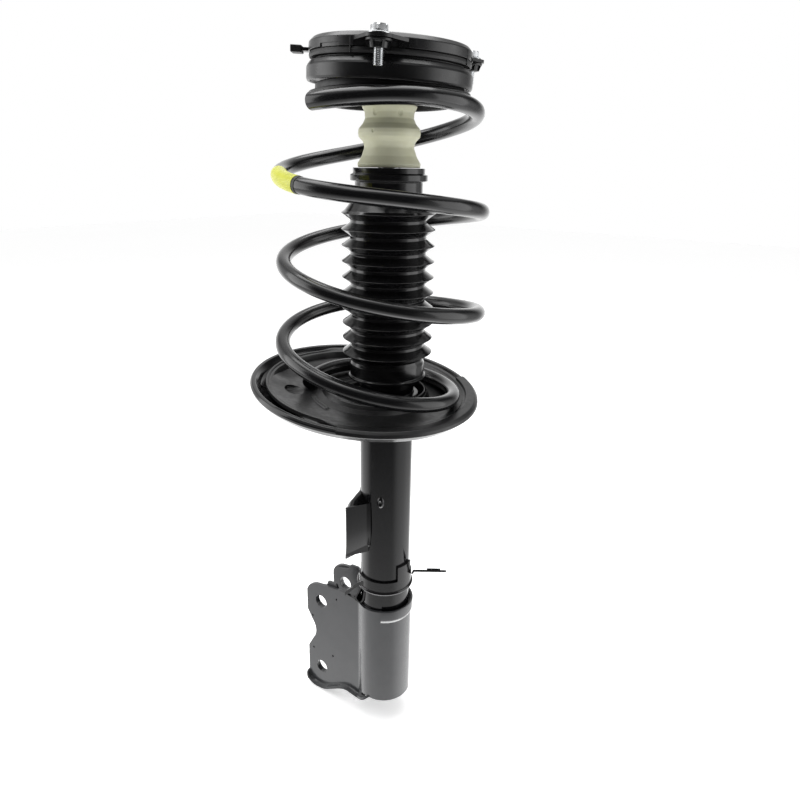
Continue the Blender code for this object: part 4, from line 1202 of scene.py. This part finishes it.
def make_mount_fasteners():
    """Flange bolts with their heads up, each in a ribbed captive nut under its ear."""
    nut_top = EAR_TOP - EAR_SHEET - GAP
    foot = nut_top - NUT_HEIGHT
    head = EAR_TOP + GAP
    rib = 1.8
    for number, angle in enumerate(BOLT_ANGLES, start=1):
        place = MOUNT @ Matrix.Translation(polar(BOLT_CIRCLE_R, angle)) @ around(angle)
        shank = threaded(4.0, 1.25, EAR_TOP - BOLT_REACH, head + 0.4)
        add_piece(f"mount_bolt_{number}_shank", shank, "threads", TOP, f"mount_bolt_{number}", place=place)
        flange = [(0, head), (8.2, head, 0.3), (8.2, head + 0.9, 0.5), (6.4, head + 1.8, 0.5)]
        flange += [(0, head + 1.8)]
        add_piece(f"mount_bolt_{number}_flange", turned(flange, 72), "zinc", TOP, place=place)
        top = hexagon(6.0, head + 1.6, head + 6.0, 0)
        add_piece(f"mount_bolt_{number}_head", top, "zinc", TOP, place=place, sharp=20)
        cage = [(5.0, foot, 0.5), (6.4, foot, 0.8), (7.0, nut_top - 2, 0.8), (9.6, nut_top - 1.6, 0.4)]
        cage += [(9.6, nut_top, 0.3), (4.3, nut_top), (4.3, foot + 0.6)]
        nut = to_object(f"mount_nut_{number}_cage", turned(cage, 64))
        for step in range(6):
            wedge = [(4.8, foot + 0.4), (7.4, foot + 0.4), (9.4, nut_top - 0.4), (4.8, nut_top - 0.4)]
            standing = around(60 * step + 30) @ plane_frame((0, rib / 2, 0), (1, 0, 0), (0, 0, 1))
            join(nut, extruded(wedge, rib, standing))
        move(nut, place)
        finish_piece(nut, "plate_paint", TOP, f"mount_nut_{number}")


def make_bearing():
    """The two races of the steering bearing."""
    profile = [(38, -2.7, 0.4), (58, -2.7, 0.4)]
    profile += [(58, -0.6, 0.3)] + arc(4.6, 0, -180, 12, (50.5, -0.6))[3:10]
    profile += [(38, -0.6, 0.3)]
    low = turned(profile, 128)
    add_piece("bearing_race_low", low, "machined_steel", UPPER, "bearing_lower_race", place=MOUNT)
    profile = [(38, 5.9, 0.4), (58, 5.9, 0.4), (58, 3.8, 0.3), (54.5, 3.8, 0.3), (50.5, 4.8, 1.5)]
    profile += [(45.5, 4.8, 1.5)]
    profile += [(41.5, 3.8, 0.3), (38, 3.8, 0.3)]
    high = turned(profile, 128)
    add_piece("bearing_race_high", high, "machined_steel", TOP, "bearing_upper_race", place=MOUNT)


def finish_cad_nodes():
    """The damper's hidden parts keep their CAD shape and get a real finish."""
    finishes = {
        "inner_cylinder": "machined_steel",
        "base_valve": "sintered_iron",
        "rod_guide": "sintered_iron",
        "guide_bush": "bronze",
        "oil_seal": "seal_rubber",
        "rebound_stop": "seal_rubber",
        "piston": "sintered_iron",
        "piston_ring": "nylon",
        "piston_nut": "zinc",
        "bearing_cage": "nylon",
    }
    for node, finish in finishes.items():
        frame["nodes"][node].data.materials.clear()
        frame["nodes"][node].data.materials.append(MATERIALS[finish][0])


# ---------------------------------------------------------------- studio


def make_floor():
    """Plain pale floor, level with the lowest point of the strut."""
    bm = bmesh.new()
    bmesh.ops.create_grid(bm, x_segments=1, y_segments=1, size=FLOOR_HALF)
    mesh = bpy.data.meshes.new("floor")
    bm.to_mesh(mesh)
    bm.free()
    floor = bpy.data.objects.new("floor", mesh)
    floor.location.z = CAD_BOX[0].z - FLOOR_DROP
    bpy.context.collection.objects.link(floor)
    material = bpy.data.materials.new("studio_floor")
    material.use_nodes = True
    nodes = Nodes(material.node_tree)
    shader = material.node_tree.nodes["Principled BSDF"]
    point = nodes.add("ShaderNodeTexCoord").outputs["Object"]
    colour = nodes.mix(nodes.noise(point, 1.5), (0.9, 0.9, 0.9), (0.93, 0.93, 0.93))
    material.node_tree.links.new(colour, shader.inputs["Base Color"])
    shader.inputs["Roughness"].default_value = 0.9
    shader.inputs["Specular IOR Level"].default_value = 0.0
    shader.inputs["Emission Color"].default_value = (1, 1, 1, 1)
    shader.inputs["Emission Strength"].default_value = FLOOR_GLOW
    mesh.materials.append(material)
    floor.visible_glossy = False


def make_world():
    """White surround, open behind, overhead and to the right, and dark on the camera's side."""
    world = bpy.data.worlds.new("studio")
    bpy.context.scene.world = world
    world.use_nodes = True
    nodes = Nodes(world.node_tree)
    shade = world.node_tree.nodes["Background"]
    point = nodes.add("ShaderNodeTexCoord").outputs["Generated"]
    glow = 0.05
    lobes = (
        ((-0.58, 0.78, -0.22), 0.60, 0.95, 1.35),
        ((0.80, 0.50, -0.20), 0.55, 0.95, 0.8),
        ((-0.2, 0.1, 0.97), 0.45, 0.9, 0.9),
        ((0.0, 0.0, -1.0), 0.30, 0.85, 1.7),
        ((0.0, 0.0, -1.0), 0.80, 0.97, 3.5),
        ((-0.93, -0.25, -0.1), 0.7, 0.95, 1.0),
    )
    for direction, start, full, strength in lobes:
        facing = nodes.add("ShaderNodeVectorMath", {"operation": "DOT_PRODUCT"})
        world.node_tree.links.new(point, facing.inputs[0])
        facing.inputs[1].default_value = Vector(direction).normalized()
        lobe = nodes.remap(facing.outputs["Value"], start, full, 0, strength)
        glow = nodes.maths("ADD", lobe, glow)
    seen = nodes.add("ShaderNodeLightPath").outputs["Is Camera Ray"]
    world.node_tree.links.new(nodes.mix(seen, glow, (1.0, 1.0, 1.0)), shade.inputs["Color"])
    shade.inputs["Strength"].default_value = 1.0


def make_light(name, place, target, size, power):
    """Soft rectangular light aimed at a point."""
    data = bpy.data.lights.new(name, "AREA")
    data.shape = "RECTANGLE"
    data.size, data.size_y = size
    data.energy = power
    light = bpy.data.objects.new(name, data)
    light.location = place
    light.rotation_euler = (Vector(target) - Vector(place)).to_track_quat("-Z", "Y").to_euler()
    bpy.context.collection.objects.link(light)


def make_studio():
    """Plain view transform, surround, floor and three soft lights."""
    bpy.context.scene.view_settings.view_transform = "Standard"
    bpy.context.scene.view_settings.look = "None"
    make_world()
    make_floor()
    make_light("overhead", (-0.2, 0.1, 1.7), (0, 0, 0.3), (1.4, 1.4), 22)
    make_light("left", (-1.1, -0.7, 0.7), (0, 0, 0.3), (0.8, 1.3), 8)
    make_light("right", (1.0, 0.5, 0.5), (0, 0, 0.3), (0.9, 1.3), 6)


make_camera()
MATERIALS = make_materials()
make_tube()
make_tube_welds()
make_knuckle_bracket()
make_knuckle_liner()
make_stabiliser_bracket()
make_hose_bracket()
make_lower_seat()
make_lower_pad()
make_spring()
make_bump_stop()
make_boot()
make_rod()
make_upper_seat()
make_mount_plate()
make_mount_rubber()
make_mount_fasteners()
make_bearing()
finish_cad_nodes()
make_studio()
